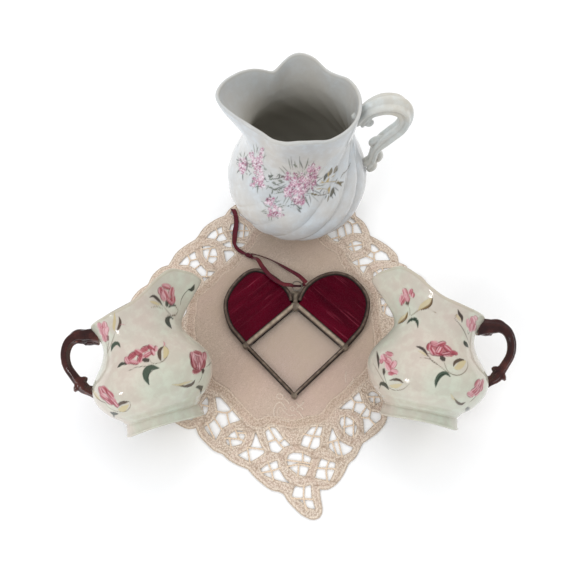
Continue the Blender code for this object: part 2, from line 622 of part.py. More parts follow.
PITCHER_PROFILE = [(0, 22.7), (3, 22.2), (7.2, 21.7), (10, 23.6), (13.2, 27.4), (16.8, 30.6), (21.2, 33.4),
                   (26, 34.9), (30, 35.1), (35, 33.8), (40, 30.7), (45, 27.0), (50, 24.2), (55, 23.1),
                   (60, 23.5), (65, 24.8), (70, 26.4)]
PITCHER_LIP_Z = [(0, 7.6), (14, 13.0), (32, 17.6), (50, 15.0), (66, 10.4), (84, 6.2), (105, 3.7),
                 (130, 1.4), (155, -0.7), (180, -2.6)]
PITCHER_LIP_SKEW = 3.2         # one side of the mouth stands higher than the other
PITCHER_LIP_R = [(0, 15.4), (10, 13.2), (22, 8.6), (36, 5.4), (52, 3.0), (80, 1.0), (110, 0.2),
                 (150, -0.4), (180, 0.6)]


def pitcher(side, foot, turn, sign):
    """sign -1 puts the spout towards the left, +1 towards the right."""
    n = 36
    zt = PITCHER_PROFILE[-1][0]

    def shape(s, r, u, inner):
        deg = abs((math.degrees(u) + 180) % 360 - 180)
        w = smooth01((s - 50) / (zt - 50))
        z = s + (table(PITCHER_LIP_Z, deg) + PITCHER_LIP_SKEW * math.sin(u)) * w
        r = r + table(PITCHER_LIP_R, deg) * w ** 1.2
        z += 1.6 * math.cos(u) * math.exp(-((s - 46) / 14.0) ** 2)
        z += PITCHER_FOOT_ARCH * math.sin(u) ** 2 * math.exp(-(s / 9.0) ** 2)
        return (sign * r * math.cos(u), r * math.sin(u), z)

    out = [(s, table(PITCHER_PROFILE, s)) for s, _ in PITCHER_PROFILE]
    lip = [(zt + 0.6, 26.4 - 1.1), (zt, 26.4 - 2.3)]
    inn = [(s, table(PITCHER_PROFILE, s) - PITCHER_WALL) for s in
           (64, 57, 50, 43, 36, 28, 20, 13)] + [(8.5, 19.0), (7.2, 12.0)]
    bm = vessel([(2.6, 12.0), (2.2, 17.5), (0.0, 20.4)] + out, lip + inn, 0, n, shape)
    a = math.radians(turn)
    th = math.radians(PITCHER_TILT)
    z = Vector((math.sin(a) * math.cos(th), math.cos(a) * math.cos(th), math.sin(th)))
    x = Vector((math.cos(a), -math.sin(a), 0))
    y = z.cross(x)
    m = Matrix((x, y, z)).transposed().to_4x4()
    m.translation = Vector((*P(*foot), PITCHER_FOOT_Z)) * MM
    finish(bm, side + "_pitcher_body", "cream_glaze", True, m)

    spine = [(27.6, 62.0), (31.6, 63.0), (37.0, 63.6), (42.0, 60.8), (44.8, 55.2), (45.1, 48.8),
             (43.0, 42.8), (41.4, 38.0), (39.9, 34.2), (37.3, 31.6)]
    path = spline([(-sign * p, 0, q) for p, q in spine], n=2)

    def rad(t):
        return table([(0, 4.0), (0.12, 4.3), (0.28, 3.8), (0.42, 2.6), (0.6, 2.5), (0.76, 3.0),
                      (0.88, 3.5), (1, 2.4)], t)
    bm = tube(path, rad, sides=10, flat=0.95)
    finish(bm, side + "_pitcher_handle", "brown_glaze", True, m)


# --------------------------------------------------------------------- heart
H_TOP = (5.1, -14.8)
H_LEFT = (-27.6, -45.0)
H_RIGHT = (37.6, -46.3)
H_TIP = (3.9, -79.0)
LOBE_L = [(2.3, -12.8), (0.6, -6.3), (-5.8, 2.2), (-11.5, 7.2), (-17.4, 10.6), (-23.6, 11.8),
          (-30.4, 8.4), (-38.2, -1.2), (-42.2, -10.8), (-42.2, -20.0), (-38.4, -31.0),
          (-32.6, -38.6), (-27.9, -44.2)]
LOBE_R = [(7.9, -12.8), (9.8, -6.3), (14.6, 0.6), (22.8, 6.6), (33.1, 9.4), (43.1, 6.4),
          (50.8, -1.7), (54.6, -10.8), (54.0, -20.0), (49.9, -31.2), (43.2, -39.6), (37.9, -45.4)]
HEART_Z = REST_Z


def i_section(w):
    """Half-round-edged H section of a lead came, (sideways, up)."""
    h, g, t = CAME_H / 2, CAME_GROOVE / 2, CAME_WEB / 2
    a = w / 2
    return [(-a, -h), (a, -h), (a, -g), (t, -g), (t, g), (a, g), (a, h), (-a, h), (-a, g), (-t, g),
            (-t, -g), (-a, -g)]


def shorten(path, d0, d1):
    pts = [Vector(p[:2]) for p in path]
    for end, d in ((0, d0), (-1, d1)):
        while d > 0:
            i, j = (0, 1) if end == 0 else (len(pts) - 1, len(pts) - 2)
            seg = (pts[j] - pts[i]).length
            if seg > d:
                pts[i] = pts[i] + (pts[j] - pts[i]) * (d / seg)
                d = 0
            else:
                d -= seg
                pts.pop(i)
    return pts


def heart():
    zc = HEART_Z + CAME_H / 2
    left = [tuple(p) for p in spline([P(*q) for q in LOBE_L], n=2)]
    right = [tuple(p) for p in spline([P(*q) for q in LOBE_R], n=2)]
    T, L, R, B = P(*H_TOP), P(*H_LEFT), P(*H_RIGHT), P(*H_TIP)
    d = SOLDER_R + GAP
    for name, path, w, a, b in (
            ("came_lobe_left", left, LOBE_CAME_W, 1.6, d), ("came_lobe_right", right, LOBE_CAME_W, 1.6, d),
            ("came_inner_left", [T, L], INNER_CAME_W, 4.2, d + 2.2),
            ("came_inner_right", [T, R], INNER_CAME_W, 4.2, d + 2.2),
            ("came_lower_left", [L, B], LOWER_CAME_W, d, d),
            ("came_lower_right", [R, B], LOWER_CAME_W, d, d)):
        finish(sweep_planar(shorten(path, a, b), i_section(w), zc), name, "came")

    # solder joints
    def blob(c, r, k=16):
        return [(c[0] + r * math.cos(2 * math.pi * i / k), c[1] + r * math.sin(2 * math.pi * i / k))
                for i in range(k)]
    cleft = P(H_TOP[0], H_TOP[1] - 1.7)
    neck = 1.15
    key = [p for p in blob(cleft, 2.5) if p[1] < cleft[1] + 1.9]
    key.sort(key=lambda p: (math.degrees(math.atan2(p[1] - cleft[1], p[0] - cleft[0])) - 90) % 360)
    key += [(cleft[0] + neck, cleft[1] + 3.0), (cleft[0] + neck, cleft[1] + 8.4),
            (cleft[0] - neck, cleft[1] + 8.4), (cleft[0] - neck, cleft[1] + 3.0)]
    joints = [("solder_joint_cleft", key), ("solder_joint_left", blob(P(*H_LEFT), SOLDER_R)),
              ("solder_joint_right", blob(P(*H_RIGHT), SOLDER_R)),
              ("solder_joint_tip", blob(P(*H_TIP), SOLDER_R))]
    for name, lp in joints:
        cx = sum(p[0] for p in lp) / len(lp)
        cy = sum(p[1] for p in lp) / len(lp)
        tight = offset_loop(lp, -0.45)
        rings = [[(x, y, zc + dz) for x, y in q] for dz, q in
                 ((-2.1, tight), (-1.7, lp), (1.9, lp), (2.25, tight))]
        finish(loft(rings, fan=False), name, "solder", True)

    # glass, cut to sit in the grooves and clear of the solder
    inset = CAME_WEB / 2 + GAP
    notches = [offset_loop(lp, GAP) for _, lp in joints]

    def pane(name, key, side_paths):
        loop = []
        for path in side_paths:
            loop += path[:-1]
        loop = offset_loop(loop, -inset)
        v, tris = flat_region([loop] + notches,
                              lambda p: inside(p, loop) and not any(inside(p, q) for q in notches))
        slab(name, key, v, tris, zc - GLASS_T / 2, zc + GLASS_T / 2)

    def straight(a, b):
        return [tuple(a), tuple(b)]
    pane("red_glass_left", "red_glass", [left + [L], straight(L, T), straight(T, left[0])])
    pane("red_glass_right", "red_glass", [right + [R], straight(R, T), straight(T, right[0])])
    pane("clear_glass", "clear_glass", [straight(T, L), straight(L, B), straight(B, R),
                                        straight(R, T)])

    # hanging ring, leaning back from the cleft
    ring_c = Vector((*P(6.2, -2.2), HEART_Z + CAME_H + 1.75))
    rings = []
    R0, r0 = 3.4, 0.45
    for i in range(20):
        u = 2 * math.pi * i / 20
        rad = Vector((math.cos(u), math.sin(u) * math.cos(math.radians(8)),
                      math.sin(u) * math.sin(math.radians(8))))
        up = rad.cross(Vector((-math.sin(u), math.cos(u), 0))).normalized()
        rings.append([ring_c + rad * (R0 + r0 * math.cos(w)) + up * (r0 * math.sin(w))
                      for w in (2 * math.pi * k / 8 for k in range(8))])
    bm = bmesh.new()
    rows = [[bm.verts.new(p * MM) for p in ring] for ring in rings]
    for i in range(20):
        a, b = rows[i], rows[(i + 1) % 20]
        for k in range(8):
            bm.faces.new((a[k], a[(k + 1) % 8], b[(k + 1) % 8], b[k]))
    finish(bm, "hanging_ring", "wire", True)


# -------------------------------------------------------------------- ribbon
# Plan position and height of the strip's underside above the table.
HINGE = (*P(5.0, -1.7), REST_Z + CAME_H + 3.0)
LOOP = [(1.8, -2.2, 8.0), (3.6, -2.9, 8.1), (6.2, -2.3, 7.0), (9.0, -1.6, 5.75), (11.6, 0.2, 5.7)]
STRAND_L = [(1.1, -2.0, 7.8), (-4.0, 1.2, 6.9), (-11.3, 8.0, 6.3), (-17.5, 14.6, 6.2),
            (-21.5, 19.8, 5.4), (-25.0, 22.6, 2.6)]
STRAND_R = [(12.6, 0.4, 6.5), (7.6, 6.8, 6.0), (-0.6, 14.8, 2.4), (-10.5, 21.8, 1.4),
            (-18.0, 24.4, 1.4), (-23.6, 26.0, 1.5)]
TAIL = [(-31.8, 27.2, 1.6), (-36.8, 30.6, 1.5), (-40.6, 35.8, 1.4), (-40.6, 44.0, 1.4),
        (-39.8, 52.0, 1.4), (-41.0, 59.0, 1.4), (-42.9, 63.0, 1.4)]


def strip(name, ctrl):
    pts = [Vector((*P(x, y), z)) for x, y, z in ctrl]
    path = spline(pts, n=3)
    rings = []
    n = len(path)
    for i, p in enumerate(path):
        t = (path[min(i + 1, n - 1)] - path[max(i - 1, 0)]).normalized()
        side = Vector((-t.y, t.x, 0)).normalized()
        up = t.cross(side)
        if up.z < 0:
            up = -up
        rings.append([p + side * a + up * b for a, b in
                      ((-RIBBON_W / 2, 0), (RIBBON_W / 2, 0), (RIBBON_W / 2, RIBBON_T),
                       (-RIBBON_W / 2, RIBBON_T))])
    return finish(loft(rings), name, "ribbon")


def ribbon():
    obs = [strip("ribbon_loop", LOOP), strip("ribbon_strand_left", STRAND_L), strip("ribbon_strand_right", STRAND_R),
           strip("ribbon_tail", TAIL)]
    kc = Vector((*P(-28.3, 25.2), 2.4))
    rings = []
    ax = Vector((-0.86, 0.5, 0)).normalized()
    side = Vector((-ax.y, ax.x, 0))
    for t, k in ((-2.4, 0.55), (-1.7, 0.9), (0, 1.0), (1.7, 0.9), (2.4, 0.55)):
        rings.append([kc + ax * t + side * (1.9 * k * math.cos(u)) + Vector((0, 0, 1.05 * k * math.sin(u)))
                      for u in (2 * math.pi * i / 12 for i in range(12))])
    obs.append(finish(loft(rings), "ribbon_knot", "ribbon", True))
    for ob in obs:
        recentre(ob, HINGE)


doily()
jug()
pitcher("right", RIGHT_FOOT, RIGHT_TURN, -1)
pitcher("left", LEFT_FOOT, LEFT_TURN, 1)
heart()
ribbon()
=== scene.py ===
# Looks for the tea-table group: a lace doily with a white jug, two rose
# pitchers, and a leaded-glass heart on a ribbon.  Everything is in metres in
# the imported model's own frame; tables below are in millimetres.
import json
import math

import bpy
import numpy as np
from mathutils import Matrix, Vector
from mathutils.bvhtree import BVHTree
from mathutils.geometry import delaunay_2d_cdt

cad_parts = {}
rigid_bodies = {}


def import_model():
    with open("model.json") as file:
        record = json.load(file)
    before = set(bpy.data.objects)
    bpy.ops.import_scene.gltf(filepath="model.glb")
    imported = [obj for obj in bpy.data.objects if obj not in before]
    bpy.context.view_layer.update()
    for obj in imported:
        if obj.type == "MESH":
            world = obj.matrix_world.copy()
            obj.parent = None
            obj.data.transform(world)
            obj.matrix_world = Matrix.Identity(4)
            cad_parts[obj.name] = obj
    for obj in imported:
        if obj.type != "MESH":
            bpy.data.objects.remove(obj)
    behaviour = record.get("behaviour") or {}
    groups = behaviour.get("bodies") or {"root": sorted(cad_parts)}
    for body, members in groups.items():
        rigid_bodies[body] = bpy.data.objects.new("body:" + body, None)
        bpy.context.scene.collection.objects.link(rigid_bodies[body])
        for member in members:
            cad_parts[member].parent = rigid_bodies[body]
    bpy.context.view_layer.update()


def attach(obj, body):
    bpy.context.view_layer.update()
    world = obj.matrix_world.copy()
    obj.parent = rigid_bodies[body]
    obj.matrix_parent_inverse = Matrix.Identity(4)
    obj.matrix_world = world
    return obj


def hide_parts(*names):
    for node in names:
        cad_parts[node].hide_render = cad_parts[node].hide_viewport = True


for _o in list(bpy.data.objects):
    bpy.data.objects.remove(_o, do_unlink=True)

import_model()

MM = 0.001
TAU = 2 * math.pi

# ------------------------------------------------------------- camera numbers
CAM_AT = Vector((-0.004, -0.17418, 0.37084))
CAM_TILT = math.radians(28.0)
CAM_LENS, CAM_SENSOR, CAM_PX = 37.5, 36.0, 576.0


def view_ray(x, y):
    """World ray through a point of the 576-pixel picture."""
    k = CAM_SENSOR / CAM_LENS / CAM_PX
    d = Vector(((x - CAM_PX / 2) * k, -(y - CAM_PX / 2) * k, -1.0))
    c, s = math.cos(CAM_TILT), math.sin(CAM_TILT)
    return CAM_AT, Vector((d.x, d.y * c - d.z * s, d.y * s + d.z * c)).normalized()


# -------------------------------------------------------------- small helpers
class Rand:
    """Tiny repeatable random source."""

    def __init__(self, seed):
        self.s = (seed * 2654435761 + 12345) % 4294967296

    def __call__(self, a=0.0, b=1.0):
        self.s = (self.s * 1664525 + 1013904223) % 4294967296
        return a + (b - a) * self.s / 4294967296.0


def lin(r, g, b):
    """Screen colour 0-255 to linear light."""
    out = []
    for c in (r, g, b):
        c /= 255.0
        out.append(c / 12.92 if c <= 0.04045 else ((c + 0.055) / 1.055) ** 2.4)
    return tuple(out)


def make_mesh(name, co, faces, mats, smooth=True, face_mat=None):
    """co: (n,3) metres; faces: list of integer arrays, each (k, 3 or 4)."""
    co = np.asarray(co, np.float32)
    me = bpy.data.meshes.new(name)
    me.vertices.add(len(co))
    me.vertices.foreach_set("co", co.ravel())
    loops, starts, at = [], [], 0
    for f in faces:
        f = np.asarray(f, np.int32)
        if not len(f):
            continue
        loops.append(f.ravel())
        starts.append(at + np.arange(len(f), dtype=np.int32) * f.shape[1])
        at += f.size
    loops = np.concatenate(loops)
    starts = np.concatenate(starts).astype(np.int32)
    me.loops.add(len(loops))
    me.loops.foreach_set("vertex_index", loops)
    me.polygons.add(len(starts))
    me.polygons.foreach_set("loop_start", starts)
    if face_mat is not None:
        me.polygons.foreach_set("material_index", np.asarray(face_mat, np.int32))
    me.update(calc_edges=True)
    me.validate()
    me.polygons.foreach_set("use_smooth", np.full(len(me.polygons), smooth))
    for m in mats:
        me.materials.append(m)
    ob = bpy.data.objects.new(name, me)
    bpy.context.scene.collection.objects.link(ob)
    return ob


def put_attr(ob, name, data):
    data = np.asarray(data, np.float32)
    if data.ndim == 1:
        a = ob.data.attributes.new(name, "FLOAT", "POINT")
        a.data.foreach_set("value", data)
    elif data.shape[1] == 2:
        a = ob.data.attributes.new(name, "FLOAT_VECTOR", "POINT")
        a.data.foreach_set("vector", np.column_stack([data, np.zeros(len(data))]).astype(np.float32).ravel())
    elif data.shape[1] == 3:
        a = ob.data.attributes.new(name, "FLOAT_VECTOR", "POINT")
        a.data.foreach_set("vector", data.ravel())
    else:
        a = ob.data.attributes.new(name, "FLOAT_COLOR", "POINT")
        a.data.foreach_set("color", data.ravel())


class Bag:
    """Collects several closed shells into one mesh."""

    def __init__(self):
        self.co, self.tri, self.quad, self.uv, self.n = [], [], [], [], 0

    def add(self, co, tri=None, quad=None, uv=None):
        co = np.asarray(co, float)
        if tri is not None and len(tri):
            self.tri.append(np.asarray(tri, np.int64) + self.n)
        if quad is not None and len(quad):
            self.quad.append(np.asarray(quad, np.int64) + self.n)
        self.uv.append(np.zeros((len(co), 2)) if uv is None else np.asarray(uv, float))
        self.co.append(co)
        self.n += len(co)

    def make(self, name, mats, smooth=True):
        faces = []
        if self.quad:
            faces.append(np.concatenate(self.quad))
        if self.tri:
            faces.append(np.concatenate(self.tri))
        ob = make_mesh(name, np.concatenate(self.co) * MM, faces, mats, smooth)
        put_attr(ob, "strip", np.concatenate(self.uv))
        return ob


def ring_quads(rows, n, closed_rows=False):
    a = np.arange(rows if closed_rows else rows - 1)[:, None]
    k = np.arange(n)[None, :]
    k2 = (k + 1) % n
    b = (a + 1) % rows
    return np.stack([a * n + k, a * n + k2, b * n + k2, b * n + k], -1).reshape(-1, 4)


def loft_into(bag, rings, uv=None, closed=False):
    """Rings (m, n, 3) skinned into one closed shell."""
    rings = np.asarray(rings, float)
    m, n, _ = rings.shape
    co = rings.reshape(-1, 3)
    q = ring_quads(m, n, closed)
    if uv is None:
        uv = np.zeros((m * n, 2))
    if closed:
        bag.add(co, None, q, uv)
        return
    ends = np.stack([rings[0].mean(0), rings[-1].mean(0)])
    k = np.arange(n)
    k2 = (k + 1) % n
    t0 = np.stack([np.full(n, m * n), k2, k], -1)
    t1 = np.stack([np.full(n, m * n + 1), (m - 1) * n + k, (m - 1) * n + k2], -1)
    bag.add(np.vstack([co, ends]), np.vstack([t0, t1]), q,
            np.vstack([uv, [uv[0], uv[-1]]]))


def spline(pts, closed=False, n=4):
    """Catmull-Rom through the control points, as an array."""
    p = np.asarray([tuple(q) for q in pts], float)
    m = len(p)
    out = []
    for i in range(m if closed else m - 1):
        if closed:
            a, b, c, d = p[i - 1], p[i], p[(i + 1) % m], p[(i + 2) % m]
        else:
            b, c = p[i], p[i + 1]
            a = p[i - 1] if i > 0 else 2 * b - c
            d = p[i + 2] if i + 2 < m else 2 * c - b
        for k in range(n):
            t = k / n
            out.append(0.5 * (2 * b + (c - a) * t + (2 * a - 5 * b + 4 * c - d) * t * t
                              + (3 * b - a - 3 * c + d) * t ** 3))
    if not closed:
        out.append(p[-1])
    return np.array(out)


def even(path, step, closed=False):
    """The same path with points every step."""
    p = np.asarray(path, float)
    if closed:
        p = np.vstack([p, p[:1]])
    seg = np.linalg.norm(np.diff(p, axis=0), axis=1)
    s = np.concatenate([[0], np.cumsum(seg)])
    n = max(2, int(round(s[-1] / step)) + 1)
    t = np.linspace(0, s[-1], n)
    q = np.stack([np.interp(t, s, p[:, i]) for i in range(p.shape[1])], -1)
    return q[:-1] if closed else q


def tangents(p, closed=False):
    if closed:
        d = np.roll(p, -1, 0) - np.roll(p, 1, 0)
    else:
        d = np.gradient(p, axis=0)
    return d / np.maximum(np.linalg.norm(d, axis=1, keepdims=True), 1e-9)


def cord(bag, path, radius, sides=8, twist=0.0, ply=0.0, up=(0, 0, 1), flat=1.0, closed=False):
    """Round thread or rod.  ply gives the raised strands of a twisted cord."""
    p = np.asarray(path, float)
    if p.shape[1] == 2:
        p = np.column_stack([p, np.zeros(len(p))])
    t = tangents(p, closed)
    up = np.asarray(up, float)
    a = np.cross(t, up)
    bad = np.linalg.norm(a, axis=1) < 1e-6
    a[bad] = np.cross(t[bad], (1.0, 0.2, 0.1))
    a /= np.linalg.norm(a, axis=1, keepdims=True)
    b = np.cross(a, t)
    seg = np.linalg.norm(np.diff(p, axis=0), axis=1)
    s = np.concatenate([[0], np.cumsum(seg)])
    r = radius(s / max(s[-1], 1e-9)) if callable(radius) else np.full(len(p), radius)
    th = TAU * np.arange(sides) / sides
    rr = r[:, None] * (1 + ply * np.cos(2 * th[None, :] - twist * s[:, None]))
    rings = (p[:, None, :] + a[:, None, :] * (rr * np.cos(th))[..., None]
             + b[:, None, :] * (rr * flat * np.sin(th))[..., None])
    uv = np.stack([np.repeat(s, sides), np.tile(th * float(np.mean(r)), len(p))], -1)
    loft_into(bag, rings, uv, closed)


def smooth01(t):
    t = np.clip(t, 0.0, 1.0)
    return t * t * (3 - 2 * t)


def table(rows, x):
    """Smooth interpolation in a short table of (x, value) rows."""
    if x <= rows[0][0]:
        return rows[0][1]
    for i in range(len(rows) - 1):
        x0, y0 = rows[i]
        x1, y1 = rows[i + 1]
        if x <= x1:
            xa, ya = rows[i - 1] if i > 0 else (2 * x0 - x1, y1)
            xb, yb = rows[i + 2] if i + 2 < len(rows) else (2 * x1 - x0, y0)
            m0 = (y1 - ya) / (x1 - xa) * (x1 - x0)
            m1 = (yb - y0) / (xb - x0) * (x1 - x0)
            if (y1 - y0) * m0 <= 0:
                m0 = 0.0
            if (y1 - y0) * m1 <= 0:
                m1 = 0.0
            t = (x - x0) / (x1 - x0)
            return (y0 * (2 * t ** 3 - 3 * t * t + 1) + m0 * (t ** 3 - 2 * t * t + t)
                    + y1 * (3 * t * t - 2 * t ** 3) + m1 * (t ** 3 - t * t))
    return rows[-1][1]


def curve_of(rows):
    """The table as a fast function of an array."""
    xs = np.linspace(rows[0][0], rows[-1][0], 600)
    ys = np.array([table(rows, x) for x in xs])
    return lambda v: np.interp(v, xs, ys)


def wobble(x, y, z=0.0, seed=0.0):
    """Cheap smooth noise, about -1 to 1."""
    return (np.sin(1.7 * x + 2.3 * y + 1.1 * z + seed) + np.sin(-1.1 * x + 1.9 * y + 2.7 * z + 2.1 * seed + 1.3)
            + np.sin(2.9 * x - 1.3 * y - 1.9 * z + 3.7 * seed + 0.4) + np.sin(0.7 * x + 3.1 * y - 2.2 * z + 1.7)) / 4


def area2(loop):
    l = np.asarray(loop)
    return float(np.sum(np.roll(l[:, 0], 1) * l[:, 1] - l[:, 0] * np.roll(l[:, 1], 1)))


def offset_loop(loop, d):
    s = 1.0 if area2(loop) > 0 else -1.0
    p = np.asarray(loop, float)[:, :2]
    d0 = p - np.roll(p, 1, 0)
    d0 /= np.linalg.norm(d0, axis=1, keepdims=True)
    d1 = np.roll(d0, -1, 0)
    t = d0 + d1
    t /= np.linalg.norm(t, axis=1, keepdims=True)
    k = d / np.maximum(0.45, (t * d1).sum(1))
    return np.stack([p[:, 0] + s * t[:, 1] * k, p[:, 1] - s * t[:, 0] * k], -1)


def in_poly(pts, loop):
    """Which points lie inside the loop."""
    x, y = pts[:, 0], pts[:, 1]
    l = np.asarray(loop, float)
    sel = (x >= l[:, 0].min()) & (x <= l[:, 0].max()) & (y >= l[:, 1].min()) & (y <= l[:, 1].max())
    out = np.zeros(len(pts), bool)
    idx = np.nonzero(sel)[0]
    if not len(idx):
        return out
    xs, ys = x[idx], y[idx]
    c = np.zeros(len(idx), bool)
    for i in range(len(l)):
        xi, yi = l[i]
        xj, yj = l[i - 1]
        if yi == yj:
            continue
        c ^= ((yi > ys) != (yj > ys)) & (xs < (xj - xi) * (ys - yi) / (yj - yi) + xi)
    out[idx] = c
    return out


def loop_distance(pts, loops):
    """Distance from each point to the nearest loop edge."""
    best = np.full(len(pts), 1e9)
    for l in loops:
        l = np.asarray(l, float)
        x0, y0 = l.min(0) - 4
        x1, y1 = l.max(0) + 4
        idx = np.nonzero((pts[:, 0] > x0) & (pts[:, 0] < x1) & (pts[:, 1] > y0) & (pts[:, 1] < y1))[0]
        if not len(idx):
            continue
        q = pts[idx]
        d = best[idx]
        for i in range(len(l)):
            a, b = l[i - 1], l[i]
            e = b - a
            k = np.clip(((q - a) @ e) / max(e @ e, 1e-12), 0, 1)
            d = np.minimum(d, np.linalg.norm(q - (a + k[:, None] * e), axis=1))
        best[idx] = d
    return best


# ------------------------------------------------- shared dimensions (mm)
PLAN_ORIGIN = (4.0, -23.0)     # plan position of the doily centre
GAP = 0.3
CLOTH_T = 0.8
HEM_W = 5.6
BAR_W = 1.15
JUG_AXIS = (7.5, 69.2)
PITCHER_FOOT_ARCH = 3.0
PITCHER_FOOT_Z = 22.9
PITCHER_TILT = 24.5
RIGHT_FOOT = (76.2, -101.0)
RIGHT_TURN = 12.2
LEFT_FOOT = (-71.2, -103.3)
LEFT_TURN = -17.2
GLASS_T = 2.4
CAME_H = 4.2
CAME_WEB = 0.8
CAME_GROOVE = 3.0
LOBE_CAME_W = 2.5
INNER_CAME_W = 3.6
LOWER_CAME_W = 2.0
SOLDER_R = 2.0
RIBBON_W = 3.0
RIBBON_T = 0.45
PITCHER_LIP_SKEW = 3.2
FLUTES = 14
REST_Z = 1.1
HEART_Z = REST_Z


def P(x, y):
    return (x - PLAN_ORIGIN[0], y - PLAN_ORIGIN[1])


# Scallops of the outer edge; each one runs from notch to notch.
EDGE = [
    [(18.5, -135.3), (24, -135.2), (29.5, -131.5), (33.5, -126), (36.5, -120.2)],
    [(36.5, -120.2), (40.5, -117), (43.5, -112), (45.5, -108.3)],
    [(45.5, -108.3), (50.5, -105), (56, -101), (60.5, -95.5), (62.5, -90)],
    [(62.5, -90), (69, -88), (75, -82.5), (79, -75.5)],
    [(79, -75.5), (86, -73.5), (92, -67.5), (95.5, -59.5)],
    [(95.5, -59.5), (102, -56.5), (107, -51.5), (108.5, -45.5)],
    [(108.5, -45.5), (114, -43), (119, -38.5), (120.5, -32), (116.5, -26.5), (109.5, -24)],
    [(109.5, -24), (108.5, -17), (104.5, -10), (98, -5)],
    [(98, -5), (97.5, 3), (93, 9.5), (85.5, 13.5)],
    [(85.5, 13.5), (84, 17.5), (79, 20.3)],
    [(79, 20.3), (78, 27), (73, 33.5), (66.5, 38.8), (60, 43)],
    [(60, 43), (58.5, 49.5), (55.5, 55.5), (50.5, 60.5)],
    [(50.5, 60.5), (49, 68.5), (44.5, 76), (37.5, 81.5)],
    [(37.5, 81.5), (36, 90), (31, 97), (23.5, 101)],
    [(23.5, 101), (21, 110), (14.5, 117.5), (7, 120.5), (0, 117.5), (-5.5, 110), (-8, 102)],
    [(-8, 102), (-16, 101), (-22.5, 95.5), (-26, 88.5)],
    [(-26, 88.5), (-32, 85), (-36.5, 78.5), (-38.5, 71.5)],
    [(-38.5, 71.5), (-43.5, 67), (-47, 61)],
    [(-47, 61), (-53, 57.8), (-58.8, 53.3), (-62.6, 49), (-65.3, 43.5), (-67.5, 39.7)],
    [(-67.5, 39.7), (-75, 34), (-80.6, 28), (-83.3, 22), (-85, 18)],
    [(-85, 18), (-90.5, 15.8), (-95.5, 10), (-98, 2.5)],
    [(-98, 2.5), (-104, -2.5), (-108, -9.5), (-109, -17)],
    [(-109, -17), (-116, -21.5), (-121, -28.5), (-121.5, -37), (-117, -43.5), (-109, -46)],
    [(-109, -46), (-107.5, -54), (-102, -60.5), (-94, -64)],
    [(-94, -64), (-92.5, -72.5), (-87.5, -79.5), (-79.5, -84)],
    [(-79.5, -84), (-77, -90.5), (-71.5, -94.5), (-67, -97.3), (-62, -99.2), (-57, -98.6)],
    [(-57, -98.6), (-54.6, -103.6), (-50, -108.3), (-45, -112.6), (-39.8, -114.6)],
    [(-39.8, -114.6), (-36, -118), (-30, -121.3), (-24, -123.6)],
    [(-24, -123.6), (-20, -128), (-15, -132.2), (-10, -135.6), (-5.2, -136.7), (-2.2, -138.2)],
    [(-2.2, -138.2), (0, -141.8), (4, -146), (8.5, -149.8), (14, -152.2), (18.2, -151),
     (19.8, -147), (19, -141), (18.5, -135.3)],
]

# Centre line of the hem tape sewn round the linen.
HEM = [
    (-12, -94.0), (-4, -95.0), (4, -96.5), (13, -94.2), (22, -92.2), (29, -83.6), (37.5, -77.0),
    (43, -70.6), (51, -64), (58, -53), (60.5, -41), (60, -28), (59.3, -15), (59.5, -5),
    (55.5, 3), (49.5, 7.5), (44, 14.5), (39.5, 23), (37.5, 29.8), (30.5, 34.5), (23.8, 41.5),
    (17, 51), (6, 57), (-6, 55), (-16.5, 50), (-24, 45), (-26.5, 37.5), (-33.0, 28.5),
    (-40.0, 17.8), (-47.0, 13.2), (-53.5, 4.4), (-59.5, -1.8), (-65.0, -8.5), (-65.5, -18),
    (-66, -30), (-63, -45), (-57, -60), (-49.5, -70), (-40.5, -76.0), (-34.0, -82.7),
    (-25.7, -91.5), (-19.5, -96.2),
]

